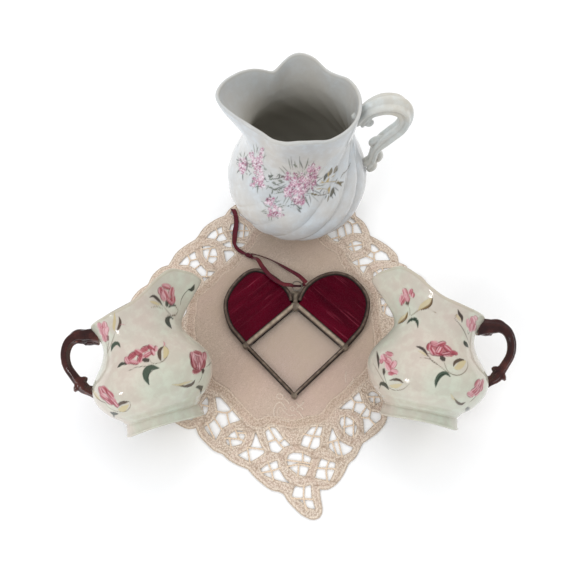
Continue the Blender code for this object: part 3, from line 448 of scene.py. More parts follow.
# Openings in the lace with the thread bars that cross them.
FRONT_MOTIF = {
    "tip": ([(4, -133.5), (9, -134.3), (13.7, -132.7), (14, -140), (16.2, -146.8), (12, -146.2),
             (7, -142), (2, -139.5)],
            [[(9.5, -133.8), (9.3, -141.3), (11, -147)], [(2.5, -140.6), (14.4, -141.2)]]),
    "left_arch": ([(-1, -119), (0, -115.5), (3, -113.8), (9, -114.3), (14.3, -117), (12.7, -123),
                   (10.3, -128.3), (5.5, -127), (0.5, -123)],
                  [[(-1, -118.5), (9, -119.8), (13.8, -120.6)], [(9, -114), (9, -119.8)],
                   [(0, -122.3), (6.5, -121), (13, -122.3)], [(6.5, -121), (6, -127.5)]]),
    "right_arch": ([(20, -117.3), (24.5, -119), (28.9, -120), (28, -125), (25, -131), (22.5, -130.3),
                    (16, -129), (17.5, -123.5)],
                   [[(17.5, -123.2), (28.5, -123.7)], [(25, -118.8), (23, -124), (23.5, -131)]]),
    "left_leaf": ([(-14.3, -101), (-10.5, -98.3), (-8, -98.5), (-3, -105), (1.8, -109.5),
                   (-2, -110.5), (-6, -114.5), (-10.5, -113.5)],
                  [[(-12, -98.5), (-7.5, -106), (-2.4, -111.5)], [(-11.8, -107.3), (-7.5, -106)],
                   [(-5.6, -108), (-2, -105)]]),
    "right_leaf": ([(15, -98), (21.7, -98), (20, -104), (19.5, -110), (16.5, -112.3), (7.5, -109.7),
                    (9.5, -104), (12, -101)],
                   [[(10, -102.6), (15.5, -104), (20.5, -104.2)], [(18.4, -97.5), (15.5, -104),
                    (12.6, -111)]]),
    "left_wedge": ([(-20, -101.2), (-17.5, -107.5), (-14, -114), (-18, -117), (-23, -119.8),
                    (-31, -115.5), (-25, -112.3), (-22.3, -109)],
                   [[(-24.5, -110.9), (-15.5, -112)], [(-24.8, -111.4), (-23, -120)]]),
    "right_wedge": ([(27.5, -98.3), (30, -104.5), (32.5, -107), (36.5, -109.4), (40.2, -110.8),
                     (38, -113.8), (33.5, -116), (28.5, -114.7), (25, -111), (25.2, -106)],
                    [[(24.8, -108), (30.8, -106.2)], [(30.6, -105.5), (33, -116.4)],
                     [(27.3, -107.6), (29.7, -115.6)]]),
    "left_lens": ([(-17, -124), (-12, -120.5), (-6.5, -118.5), (-5.5, -123.5), (-2, -129),
                   (1.6, -132.3), (-4, -131), (-9, -129.5), (-14, -127.5)],
                  [[(-12, -120.2), (-10, -125), (-8.8, -130)], [(-10, -125), (-5, -123.3)],
                   [(-16, -126), (-10, -125)]]),
}
LACE = {
    "sw_leaf": ([(-46.5, -78.8), (-43, -79), (-37.5, -85), (-29.4, -94), (-36, -96), (-41, -99),
                 (-44.5, -106.5), (-49, -103), (-52.5, -98.5), (-47.5, -95), (-44, -90)],
                [[(-45.3, -88.3), (-38.5, -89.2), (-35, -86.6)], [(-38.5, -89.2), (-36.5, -97)],
                 [(-46.8, -91.8), (-41.3, -99.6)], [(-50.6, -95.8), (-45.6, -105)]]),
    "sw_ring": ([(-38.5, -106.5), (-36, -102.5), (-32, -100.1), (-27.8, -100.7), (-26.5, -103.8),
                 (-28.5, -109), (-34, -110.3), (-37, -109.5)],
                [[(-38.6, -105.3), (-30, -105.8), (-27, -107.2)], [(-32.8, -99.8), (-30, -105.8)],
                 [(-31.6, -101.8), (-26.3, -102.2)], [(-36.2, -105.3), (-34.8, -110.8)]]),
    "w_small": ([(-55, -83), (-51.5, -78.5), (-50.3, -82), (-50.5, -88), (-52, -91), (-55, -90.5),
                 (-53.5, -87)],
                [[(-55.5, -84), (-50, -85)]]),
    "w_sliver": ([(-68, -92), (-64, -90.8), (-60, -90.5), (-59.5, -94.1), (-63, -93.8)], []),
    "se_ring": ([(32, -96), (33, -92), (37.5, -91.7), (41, -94.5), (43.2, -98), (42, -102),
                 (40, -104.6), (37.5, -103.6), (34.5, -101)],
                [[(35.6, -91.3), (34.8, -102)], [(34.8, -98.3), (41, -97)],
                 [(41, -94), (40.4, -104.5)]]),
    "se_long": ([(32.2, -86.8), (36.5, -83), (41, -79.7), (45.5, -75.4), (47.2, -82), (51.5, -88),
                 (58.6, -89.5), (58.2, -93.3), (53.5, -97), (47, -103), (47, -94), (45.5, -90.5),
                 (40, -87)],
                [[(40.4, -79.4), (42.5, -82.2), (47.9, -82.6)], [(42.5, -82.2), (40.8, -88)],
                 [(49.4, -85.4), (45.4, -91)], [(52, -87.6), (50.5, -92.3), (46.4, -92.2)],
                 [(50.5, -92.3), (54.4, -97)]]),
    "se_small": ([(51, -76.5), (54, -75), (57.5, -77), (59, -82), (56, -83.5), (52, -82)],
                 [[(50.6, -78.8), (58.6, -79)], [(55, -79), (54.5, -84)]]),
    "nw_triangle": ([(-60, 41.3), (-57, 46.3), (-49, 51.6), (-48, 46), (-44.2, 40), (-50, 37.8),
                     (-54, 40.3)],
                    [[(-53.2, 49.6), (-51.5, 44), (-53.5, 39.6)], [(-51.5, 44), (-47.8, 45.6)]]),
    "nw_ring": ([(-62.5, 34.3), (-58, 34.8), (-53, 33.3), (-51, 28), (-50.8, 23), (-54, 19.2),
                 (-58, 21.8), (-61, 26)],
                [[(-62.6, 31.4), (-53, 33)], [(-56.2, 32.4), (-58, 21.6)], [(-57.2, 25.6),
                 (-50.4, 25.2)]]),
    "nw_slot": ([(-48, 35.8), (-43, 38.2), (-37, 37.3), (-30.6, 36.3), (-30.6, 34.2), (-37, 32.9),
                 (-44.5, 33.1)], [[(-40.5, 32.5), (-41.5, 38.6)]]),
    "nw_kite": ([(-46.7, 30.5), (-40.5, 30.5), (-38, 27.5), (-44.3, 20.3)], []),
    "nw_oval": ([(-43.5, 48), (-42.2, 53.5), (-36.5, 55.5), (-31, 52), (-28.5, 47), (-29, 43),
                 (-34, 41.3), (-40.5, 42.5)],
                [[(-44, 47.5), (-28, 47.6)], [(-32.7, 40.8), (-32.3, 53.4)],
                 [(-38, 42), (-38.5, 56)]]),
    "nw_tip_a": ([(-43.4, 62.6), (-42.6, 65.4), (-39.8, 67.2), (-38.6, 63), (-40.2, 60.6)], []),
    "nw_tip_b": ([(-36.2, 67.8), (-31.8, 61.2), (-33, 58.9), (-36.6, 61.6)], []),
    "w_long": ([(-78.3, 18.5), (-74, 25), (-67.2, 30), (-66, 25), (-63, 19.5), (-58, 13.6),
                (-51.4, 13), (-55, 9), (-59, 4.8), (-60.5, 8.5), (-66, 15), (-70.5, 18)],
               [[(-72.3, 27), (-70.2, 22), (-71.3, 17.4)], [(-70.2, 22), (-65, 23.4)],
                [(-67, 14.6), (-62, 19.2)], [(-60.6, 8.9), (-54.6, 9)], [(-57.4, 14), (-57.6, 8.6)]]),
    "w_inner": ([(-75.4, -12), (-70, -12.4), (-69.2, -19), (-71.6, -23.6), (-75.8, -20)],
                [[(-72, -11.8), (-74, -23)]]),
    "ne_long": ([(27.8, 45.3), (37, 49), (44, 55.5), (46.5, 60), (52, 53.8), (54.9, 45), (47, 45.5),
                 (42, 43), (38.5, 41), (36.6, 37.6), (33.2, 38.8), (30.5, 42)],
                [[(37.2, 40.6), (36.4, 49.2)], [(31.6, 40.2), (38, 42.4)], [(43, 43), (41.3, 53.6)],
                 [(43.6, 56.4), (47.4, 53), (47.6, 45)], [(47.4, 53), (51.6, 55)]]),
    "ne_ring": ([(43.3, 33), (45, 37), (49.5, 39), (53.8, 37.8), (54, 32.8), (50, 30.2), (46, 30)],
                [[(46.2, 38.6), (48, 29.8)], [(43, 33.4), (54.4, 35.8)]]),
    "e_long": ([(60.4, 36.8), (64, 34.4), (66.5, 31), (71, 28.6), (73.8, 22.2), (62.5, 22), (57, 18.9),
                (53.5, 11.3), (50, 17), (45.4, 20.6), (49.5, 22.8), (56, 25.4), (60, 29.5)],
               [[(59.6, 30.6), (62, 28.5), (67.6, 31.4)], [(62, 28.5), (61.8, 21.4)],
                [(62, 23), (55.4, 26.4)], [(50.4, 23.6), (50.7, 16.6)], [(49.6, 17.5), (57.4, 18.7)]]),
    "e_band": ([(59.9, 9.4), (60.6, 12.5), (66, 15.4), (73, 16), (79, 16.6), (79, 14.4), (70, 13.4),
                (64.6, 11), (61.8, 8)],
               [[(62.2, 14), (64, 10)], [(67.2, 16.2), (67.4, 12.4)], [(74, 17), (74, 13.6)]]),
    "e_inner": ([(64, -7.2), (67.5, -9.6), (72, -11), (72.2, -23.4), (68.6, -22), (64.8, -19),
                 (64.2, -13)],
                [[(63.6, -14), (68, -13), (67, -8.8)], [(68, -13), (73, -18)],
                 [(67.2, -13), (65.8, -20.4)]]),
}
# The same corner motif is worked at the other three corners, with thread
# bars in its larger openings.
WORKED = ("tip", "left_arch", "right_arch")
CORNERS = [("right", (120.5, -33.0), ("right_leaf",)),
           ("back", (7.0, 120.5), ()),
           ("left", (-121.5, -36.0), ("left_leaf",))]

JUG_PROFILE = [(0, 27.5), (1.5, 28.8), (5, 31.5), (10, 35.6), (17, 41.3), (25, 45.6), (34, 47.6),
               (43, 47.0), (52, 44.2), (61, 40.2), (70, 36.6), (79, 34.4), (88, 34.2), (97, 35.4),
               (104, 36.4), (108, 36.8)]
# spout at angle 0; rim height and rim reach round the mouth (degrees, mm)
JUG_LIP_Z = [(0, 3.5), (14, 4.0), (30, 3.0), (48, 0.4), (60, -2.0), (72, -0.6), (88, 2.4),
             (102, 1.2), (120, -2.6), (145, -1.4), (162, -2.2), (180, -2.0)]
JUG_LIP_R = [(0, 13.6), (10, 11.6), (22, 6.8), (38, 1.6), (58, -1.4), (85, 0.0), (118, -1.4),
             (145, 0.2), (180, 0.0)]
PITCHER_PROFILE = [(0, 22.7), (3, 22.2), (7.2, 21.7), (10, 23.6), (13.2, 27.4), (16.8, 30.6), (21.2, 33.4),
                   (26, 34.9), (30, 35.1), (35, 33.8), (40, 30.7), (45, 27.0), (50, 24.2), (55, 23.1),
                   (60, 23.5), (65, 24.8), (70, 26.4)]
PITCHER_LIP_Z = [(0, 7.6), (14, 13.0), (32, 17.6), (50, 15.0), (66, 10.4), (84, 6.2), (105, 3.7),
                 (130, 1.4), (155, -0.7), (180, -2.6)]
PITCHER_LIP_R = [(0, 15.4), (10, 13.2), (22, 8.6), (36, 5.4), (52, 3.0), (80, 1.0), (110, 0.2),
                 (150, -0.4), (180, 0.6)]
H_TOP = (5.1, -14.8)
H_LEFT = (-27.6, -45.0)
H_RIGHT = (37.6, -46.3)
H_TIP = (3.9, -79.0)
LOBE_L = [(2.3, -12.8), (0.6, -6.3), (-5.8, 2.2), (-11.5, 7.2), (-17.4, 10.6), (-23.6, 11.8),
          (-30.4, 8.4), (-38.2, -1.2), (-42.2, -10.8), (-42.2, -20.0), (-38.4, -31.0),
          (-32.6, -38.6), (-27.9, -44.2)]
LOBE_R = [(7.9, -12.8), (9.8, -6.3), (14.6, 0.6), (22.8, 6.6), (33.1, 9.4), (43.1, 6.4),
          (50.8, -1.7), (54.6, -10.8), (54.0, -20.0), (49.9, -31.2), (43.2, -39.6), (37.9, -45.4)]
LOOP = [(1.8, -2.2, 8.0), (3.6, -2.9, 8.1), (6.2, -2.3, 7.0), (9.0, -1.6, 5.75), (11.6, 0.2, 5.7)]
STRAND_L = [(1.1, -2.0, 7.8), (-4.0, 1.2, 6.9), (-11.3, 8.0, 6.3), (-17.5, 14.6, 6.2),
            (-21.5, 19.8, 5.4), (-25.0, 22.6, 2.6)]
STRAND_R = [(12.6, 0.4, 6.5), (7.6, 6.8, 6.0), (-0.6, 14.8, 2.4), (-10.5, 21.8, 1.4),
            (-18.0, 24.4, 1.4), (-23.6, 26.0, 1.5)]
TAIL = [(-31.8, 27.2, 1.6), (-36.8, 30.6, 1.5), (-40.6, 35.8, 1.4), (-40.6, 44.0, 1.4),
        (-39.8, 52.0, 1.4), (-41.0, 59.0, 1.4), (-42.9, 63.0, 1.4)]


# ------------------------------------------------------------------ materials
class Mat:
    """One procedural material: a Principled node fed by small helper nodes."""

    def __init__(self, name):
        self.m = bpy.data.materials.new(name)
        self.m.use_nodes = True
        self.t = self.m.node_tree
        self.b = self.t.nodes["Principled BSDF"]

    def node(self, kind, props=None, **ins):
        n = self.t.nodes.new(kind)
        for k, v in (props or {}).items():
            setattr(n, k, v)
        for k, v in ins.items():
            self.set(n, k.replace("_", " "), v)
        return n

    def set(self, n, key, v):
        sock = n.inputs[int(key[1:])] if key[0] == "#" else n.inputs[key]
        if isinstance(v, bpy.types.NodeSocket):
            self.t.links.new(v, sock)
        else:
            sock.default_value = v

    def inp(self, **kw):
        for k, v in kw.items():
            self.set(self.b, k.replace("_", " "), v)
        return self

    def coords(self, scale=(1, 1, 1), rot=(0, 0, 0), attr=None):
        if attr:
            src = self.node("ShaderNodeAttribute", {"attribute_name": attr}).outputs["Vector"]
        else:
            src = self.node("ShaderNodeTexCoord").outputs["Object"]
        for key, v in (("Rotation", rot), ("Scale", scale)):      # turned first, then stretched
            mp = self.node("ShaderNodeMapping")
            self.t.links.new(src, mp.inputs["Vector"])
            mp.inputs[key].default_value = v
            src = mp.outputs["Vector"]
        return src

    def noise(self, vec, scale, detail=3.0, rough=0.55, dist=0.0, out="Fac"):
        n = self.node("ShaderNodeTexNoise", None, Scale=scale, Detail=detail, Roughness=rough, Distortion=dist)
        self.t.links.new(vec, n.inputs["Vector"])
        return n.outputs[out]

    def wave(self, vec, scale, direction="X", dist=0.0, detail=1.0, dscale=1.0):
        n = self.node("ShaderNodeTexWave", {"bands_direction": direction}, Scale=scale, Distortion=dist,
                      Detail=detail)
        n.inputs["Detail Scale"].default_value = dscale
        self.t.links.new(vec, n.inputs["Vector"])
        return n.outputs["Fac"]

    def voronoi(self, vec, scale, feature="F1", rand=1.0):
        n = self.node("ShaderNodeTexVoronoi", {"feature": feature}, Scale=scale, Randomness=rand)
        self.t.links.new(vec, n.inputs["Vector"])
        return n.outputs["Distance"]

    def math(self, op, a, b=0.0, c=0.0):
        n = self.node("ShaderNodeMath", {"operation": op})
        for i, v in enumerate((a, b, c)):
            self.set(n, "#%d" % i, v)
        return n.outputs[0]

    def ramp(self, fac, stops, interp="LINEAR"):
        n = self.node("ShaderNodeValToRGB")
        n.color_ramp.interpolation = interp
        el = n.color_ramp.elements
        while len(el) > 1:
            el.remove(el[-1])
        for i, (p, c) in enumerate(stops):
            e = el[0] if i == 0 else el.new(p)
            e.position = p
            c = (c, c, c) if isinstance(c, (int, float)) else c
            e.color = (*c, 1.0)
        self.t.links.new(fac, n.inputs["Fac"])
        return n.outputs["Color"]

    def mix(self, fac, a, b, mode="MIX"):
        n = self.node("ShaderNodeMix", {"data_type": "RGBA", "blend_type": mode})
        for i, v in ((0, fac), (6, a), (7, b)):
            if isinstance(v, bpy.types.NodeSocket):
                self.t.links.new(v, n.inputs[i])
            else:
                n.inputs[i].default_value = (*v, 1.0) if i else v
        return n.outputs[2]

    def span(self, v, a, b, c, d):
        n = self.node("ShaderNodeMapRange")
        self.t.links.new(v, n.inputs["Value"])
        for k, x in (("From Min", a), ("From Max", b), ("To Min", c), ("To Max", d)):
            n.inputs[k].default_value = x
        return n.outputs[0]

    def bump(self, height, strength, dist, under=None):
        n = self.node("ShaderNodeBump", None, Strength=strength, Distance=dist)
        self.t.links.new(height, n.inputs["Height"])
        if under is not None:
            self.t.links.new(under, n.inputs["Normal"])
        self.t.links.new(n.outputs["Normal"], self.b.inputs["Normal"])
        return n.outputs["Normal"]

    def attr(self, name, out="Fac"):
        return self.node("ShaderNodeAttribute", {"attribute_name": name}).outputs[out]


def cloth_tape(name, base, light, dark, seam=True):
    """Loosely woven cotton tape: stippled weave, soft stains, a painted highlight on the raised edge threads and
    painted shade along seams and grooves.
    """
    k = Mat(name)
    v = k.coords()
    stip = k.voronoi(v, 1150.0)                      # knots of the weave, about 0.9 mm apart
    fine = k.noise(v, 2600.0, 2.0, 0.7)
    blot = k.noise(v, 38.0, 4.0, 0.6)
    wide = k.noise(v, 11.0, 2.0, 0.5)
    col = k.mix(k.span(stip, 0.12, 0.5, 0.0, 1.0), light, base)
    col = k.mix(k.span(stip, 0.46, 0.66, 0.0, 0.6), col, dark)
    col = k.mix(k.span(fine, 0.45, 0.75, 0.0, 0.4), col, dark)
    col = k.mix(k.span(blot, 0.42, 0.66, 0.0, 0.35), col, lin(218, 188, 174))
    col = k.mix(k.span(wide, 0.42, 0.62, 0.0, 0.25), col, lin(194, 170, 144))
    if seam:
        # painted highlight along the raised edge threads, painted shade along seams, stitched grooves and the trough
        # inside the edge
        col = k.mix(k.span(k.attr("rim"), 0.0, 1.0, 0.0, 0.7), col, lin(240, 226, 207))
        col = k.mix(k.span(k.attr("crease_shade"), 0.0, 1.0, 0.0, 0.6), col, lin(140, 114, 92))
    k.inp(Base_Color=col, Roughness=0.92)
    k.b.inputs["Sheen Weight"].default_value = 0.25
    k.b.inputs["Specular IOR Level"].default_value = 0.2
    h = k.math("ADD", k.math("MULTIPLY", stip, -0.8), k.math("MULTIPLY", fine, 0.7))
    k.bump(h, 0.9, 0.0006)
    return k.m


def linen(name):
    """Plain weave, about two threads to the millimetre, slightly uneven."""
    k = Mat(name)
    v = k.coords(rot=(0, 0, math.radians(41)))
    wob = k.noise(k.coords(), 60.0, 2.0, 0.5, out="Color")
    add = k.node("ShaderNodeVectorMath", {"operation": "MULTIPLY_ADD"})
    k.t.links.new(wob, add.inputs[0])
    add.inputs[1].default_value = (0.0012, 0.0012, 0)
    k.t.links.new(v, add.inputs[2])
    v = add.outputs[0]
    a = k.wave(v, 310.0, "X", 1.2, 2.0, 2.0)         # warp
    b = k.wave(v, 310.0, "Y", 1.2, 2.0, 2.0)         # weft
    weave = k.math("MULTIPLY", k.math("SUBTRACT", a, 0.5), k.math("SUBTRACT", b, 0.5))
    slub = k.noise(k.coords(scale=(1, 0.12, 1), rot=(0, 0, math.radians(41))), 900.0, 3.0, 0.6)
    fine = k.noise(k.coords(), 2200.0, 2.0, 0.6)
    wide = k.noise(k.coords(), 12.0, 3.0, 0.5)
    col = k.mix(k.span(weave, -0.2, 0.2, 0.0, 1.0), lin(184, 164, 147), lin(214, 195, 178))
    col = k.mix(k.span(slub, 0.45, 0.75, 0.0, 0.35), col, lin(221, 203, 186))
    col = k.mix(k.span(fine, 0.45, 0.72, 0.0, 0.6), col, lin(146, 122, 98))
    col = k.mix(k.span(k.noise(k.coords(), 950.0, 2.0, 0.6), 0.55, 0.75, 0.0, 0.5), col, lin(228, 212, 196))
    col = k.mix(k.span(wide, 0.42, 0.62, 0.0, 0.5), col, lin(204, 172, 160))
    col = k.mix(k.span(k.noise(k.coords(), 23.0, 3.0, 0.5), 0.45, 0.66, 0.0, 0.45), col, lin(196, 178, 152))
    k.inp(Base_Color=col, Roughness=0.93)
    k.b.inputs["Sheen Weight"].default_value = 0.2
    k.b.inputs["Specular IOR Level"].default_value = 0.18
    h = k.math("ADD", k.math("MULTIPLY", weave, 1.4), k.math("MULTIPLY", slub, 0.6))
    k.bump(h, 0.75, 0.0005)
    return k.m


def thread_mat(name, base, dark):
    k = Mat(name)
    v = k.coords(attr="strip")
    fib = k.noise(k.coords(), 3200.0, 2.0, 0.6)
    ply = k.wave(v, 0.35, "DIAGONAL", 0.6, 1.0, 1.0)
    col = k.mix(k.span(fib, 0.35, 0.7, 0.0, 0.6), base, dark)
    col = k.mix(k.span(ply, 0.0, 0.35, 0.35, 0.0), col, dark)
    k.inp(Base_Color=col, Roughness=0.85)
    k.b.inputs["Sheen Weight"].default_value = 0.3
    k.bump(k.math("ADD", ply, k.math("MULTIPLY", fib, 0.6)), 0.6, 0.0002)
    return k.m


def glaze(name, base, warm, cool, rough=0.09, paint=True, speck=0.25, edge=None, inside=None, hollow_shade=None):
    """Glossy glaze over a pale body, with painted decoration read from the mesh."""
    k = Mat(name)
    v = k.coords()
    wide = k.noise(v, 16.0, 3.0, 0.5)
    wide2 = k.noise(v, 31.0, 2.0, 0.5)
    fine = k.noise(v, 900.0, 3.0, 0.6)
    mott = k.noise(v, 190.0, 3.0, 0.6)
    col = k.mix(k.span(wide, 0.38, 0.62, 0.0, 1.0), warm, base)
    col = k.mix(k.span(wide2, 0.42, 0.66, 0.0, 0.75), col, cool)
    col = k.mix(k.span(mott, 0.35, 0.62, 0.38, 0.0), col, tuple(c * 0.86 for c in warm))
    col = k.mix(k.span(mott, 0.50, 0.75, 0.0, 0.34), col, tuple(min(1.0, c * 1.22) for c in cool))
    col = k.mix(k.span(fine, 0.62, 0.78, 0.0, speck), col, tuple(c * 0.62 for c in base))
    if paint:
        col = k.mix(k.attr("paint", "Alpha"), col, k.attr("paint", "Color"))
    # darker edge colour on the rim and foot, and on the pitchers as painted shade in the groove above the foot band
    if edge:
        col = k.mix(k.span(k.attr("wear_and_shade"), 0.0, 1.0, 0.0, 0.6), col, edge)
    # painted shade: the inside of the vessel is darkened to grey
    if inside:
        col = k.mix(k.attr("inner"), col, inside)
    if hollow_shade:                                       # painted shade: darker in the hollows of the modelling, read from pointiness
        pt = k.node("ShaderNodeNewGeometry").outputs["Pointiness"]
        col = k.mix(k.span(pt, 0.42, 0.497, 0.85, 0.0), col, hollow_shade)
    k.inp(Base_Color=col, Roughness=k.span(fine, 0.3, 0.8, rough, rough + 0.08))
    k.b.inputs["IOR"].default_value = 1.5
    k.b.inputs["Specular IOR Level"].default_value = 0.5
    k.b.inputs["Coat Weight"].default_value = 0.0
    k.b.inputs["Subsurface Weight"].default_value = 0.0
    roll = k.noise(v, 130.0, 2.0, 0.5)
    k.bump(k.math("ADD", k.math("MULTIPLY", roll, 1.0), k.math("MULTIPLY", fine, 0.04)), 0.12, 0.0012)
    return k.m


def brown_glaze(name):
    k = Mat(name)
    v = k.coords()
    wide = k.noise(v, 85.0, 3.0, 0.6)
    fine = k.noise(v, 700.0, 3.0, 0.6)
    col = k.ramp(wide, [(0.30, lin(28, 10, 9)), (0.5, lin(52, 21, 18)), (0.68, lin(84, 41, 34))])
    col = k.mix(k.attr("wear_and_shade"), col, lin(138, 84, 70))
    col = k.mix(k.span(fine, 0.55, 0.8, 0.0, 0.5), col, lin(26, 9, 9))
    # painted shade in the hollows and painted highlight on the ridges, both read from pointiness
    pt = k.node("ShaderNodeNewGeometry").outputs["Pointiness"]
    col = k.mix(k.span(pt, 0.42, 0.495, 0.8, 0.0), col, lin(22, 8, 8))
    col = k.mix(k.span(pt, 0.51, 0.60, 0.0, 0.55), col, lin(128, 74, 60))
    k.inp(Base_Color=col, Roughness=k.span(fine, 0.3, 0.8, 0.10, 0.22))
    k.b.inputs["Coat Weight"].default_value = 0.6
    k.b.inputs["Coat Roughness"].default_value = 0.05
    k.bump(k.math("ADD", wide, k.math("MULTIPLY", fine, 0.15)), 0.35, 0.0012)
    return k.m


def red_glass(name, angle):
    """Deep crimson cathedral glass with drawn ribs and pale streaks."""
    k = Mat(name)
    v = k.coords(rot=(0, 0, angle))
    st = k.coords(scale=(0.05, 1, 1), rot=(0, 0, angle))
    streak = k.noise(st, 520.0, 4.0, 0.65)
    broad = k.noise(k.coords(scale=(0.2, 1, 1), rot=(0, 0, angle)), 90.0, 3.0, 0.6)
    fine = k.noise(v, 1500.0, 2.0, 0.6)
    col = k.ramp(broad, [(0.3, lin(62, 0, 17)), (0.55, lin(81, 1, 24)), (0.75, lin(98, 3, 31))])
    here = k.span(k.noise(k.coords(), 34.0, 2.0, 0.5), 0.46, 0.62, 0.15, 1.0)
    col = k.mix(k.math("MULTIPLY", k.span(streak, 0.56, 0.72, 0.0, 0.62), here), col, lin(178, 76, 96))
    col = k.mix(k.span(fine, 0.5, 0.8, 0.0, 0.45), col, lin(40, 1, 14))
    k.inp(Base_Color=col, Roughness=k.span(fine, 0.3, 0.7, 0.2, 0.34))
    k.b.inputs["IOR"].default_value = 1.45
    k.b.inputs["Specular IOR Level"].default_value = 0.08
    k.b.inputs["Transmission Weight"].default_value = 0.05
    k.bump(k.math("ADD", k.math("MULTIPLY", streak, 1.0), k.math("MULTIPLY", broad, 0.6)), 0.35, 0.0004)
    return k.m


def clear_glass(name):
    k = Mat(name)
    k.inp(Base_Color=(*lin(204, 198, 188), 1.0), Roughness=0.06, Alpha=0.06)
    k.b.inputs["IOR"].default_value = 1.4
    v = k.coords()
    k.bump(k.noise(v, 70.0, 2.0, 0.4), 0.08, 0.0012)
    return k.m


def lead(name, low, mid, high, metal=0.75, rough=0.42):
    """Soft lead with a dark patina; the crown is lighter and the flanks and web darker, partly rubbed patina and
    partly painted highlight and shade.
    """
    k = Mat(name)
    v = k.coords()
    pat = k.noise(v, 210.0, 4.0, 0.65)
    fine = k.noise(v, 1500.0, 3.0, 0.6)
    col = k.ramp(pat, [(0.32, tuple(0.35 * a + 0.65 * b for a, b in zip(low, mid))), (0.5, mid), (0.7, high)])
    # lighter crown and darker flanks: partly patina, partly painted highlight and shade
    col = k.mix(k.attr("wear_and_shade"), low, col)
    k.inp(Base_Color=col, Metallic=metal, Roughness=k.span(fine, 0.3, 0.75, rough - 0.08, rough + 0.2))
    k.bump(k.math("ADD", pat, k.math("MULTIPLY", fine, 0.4)), 0.35, 0.0004)
    return k.m


def satin(name):
    """Burgundy satin: fine cross ribs and a sheen along the strip."""
    k = Mat(name)
    v = k.coords(attr="strip")
    rib = k.wave(v, 0.9, "X", 0.3, 1.0, 1.0)
    fib = k.noise(k.coords(scale=(0.25, 3.0, 1), attr="strip"), 6.0, 3.0, 0.6)
    edge = k.attr("wear_and_shade")
    wide = k.noise(k.coords(), 60.0, 2.0, 0.5)
    col = k.ramp(fib, [(0.3, lin(54, 6, 22)), (0.55, lin(96, 16, 38)), (0.75, lin(138, 44, 62))])
    col = k.mix(k.span(wide, 0.45, 0.7, 0.0, 0.5), col, lin(122, 48, 44))
    # darker along both edges, in bands along the knot's folds, and as painted shade in the middle of the loop
    col = k.mix(edge, col, lin(52, 8, 18))
    k.inp(Base_Color=col, Roughness=0.42)
    k.b.inputs["Sheen Weight"].default_value = 0.25
    k.b.inputs["Sheen Roughness"].default_value = 0.35
    k.b.inputs["Specular IOR Level"].default_value = 0.35
    k.b.inputs["Anisotropic"].default_value = 0.5
    k.bump(k.math("ADD", rib, k.math("MULTIPLY", fib, 0.5)), 0.3, 0.0001)
    return k.m


TAPE = cloth_tape("tape_cotton", lin(224, 208, 191), lin(247, 236, 222), lin(160, 135, 114))
HEMT = cloth_tape("hem_cotton", lin(206, 186, 168), lin(226, 208, 190), lin(160, 134, 114))
LINEN = linen("linen_weave")
THREAD = thread_mat("bar_thread", lin(232, 213, 190), lin(186, 158, 130))
EDGING = thread_mat("edge_thread", lin(206, 190, 172), lin(156, 136, 116))
WORKED = thread_mat("worked_thread", lin(224, 208, 192), lin(162, 138, 118))
JUG_GLAZE = glaze("jug_glaze", lin(196, 200, 204), lin(200, 198, 193), lin(190, 198, 203), 0.12, True, 0.12,
                  edge=lin(178, 174, 164), inside=lin(172, 168, 158))
HANDLE_GLAZE = glaze("jug_handle_glaze", lin(196, 200, 198), lin(197, 193, 182), lin(190, 198, 199), 0.12, False,
                     0.15, edge=lin(150, 144, 132), hollow_shade=lin(112, 106, 96))
CREAM = glaze("pitcher_glaze", lin(191, 188, 171), lin(194, 182, 170), lin(184, 191, 175), 0.08, True, 0.2,
              edge=lin(168, 160, 138), inside=lin(134, 131, 122))
BROWN = brown_glaze("twig_glaze")
CLEAR = clear_glass("clear_pane")
LEAD_LOBE = lead("lead_lobe", lin(38, 26, 23), lin(104, 86, 73), lin(138, 121, 104), 0.15)
LEAD_INNER = lead("lead_inner", lin(70, 52, 44), lin(178, 160, 138), lin(206, 190, 168), 0.05, 0.42)
LEAD_LOWER = lead("lead_lower", lin(34, 24, 20), lin(120, 102, 86), lin(164, 148, 130), 0.12)
SOLDER = lead("solder_patina", lin(50, 39, 33), lin(120, 106, 90), lin(168, 154, 134), 0.15, 0.38)
PUTTY = lead("putty_line", lin(30, 22, 20), lin(42, 32, 28), lin(60, 48, 42), 0.0, 0.75)
WIRE = lead("tinned_wire", lin(84, 76, 70), lin(150, 140, 128), lin(196, 188, 176), 0.7, 0.35)
SATIN = satin("ribbon_satin")


# ---------------------------------------------------------------------- doily
def cloth_z(x, y):
    """Slow rise and fall of the cloth as it lies on the table (mm)."""
    return 0.10 * wobble(x * 0.045, y * 0.045, 0.0, 1.0)


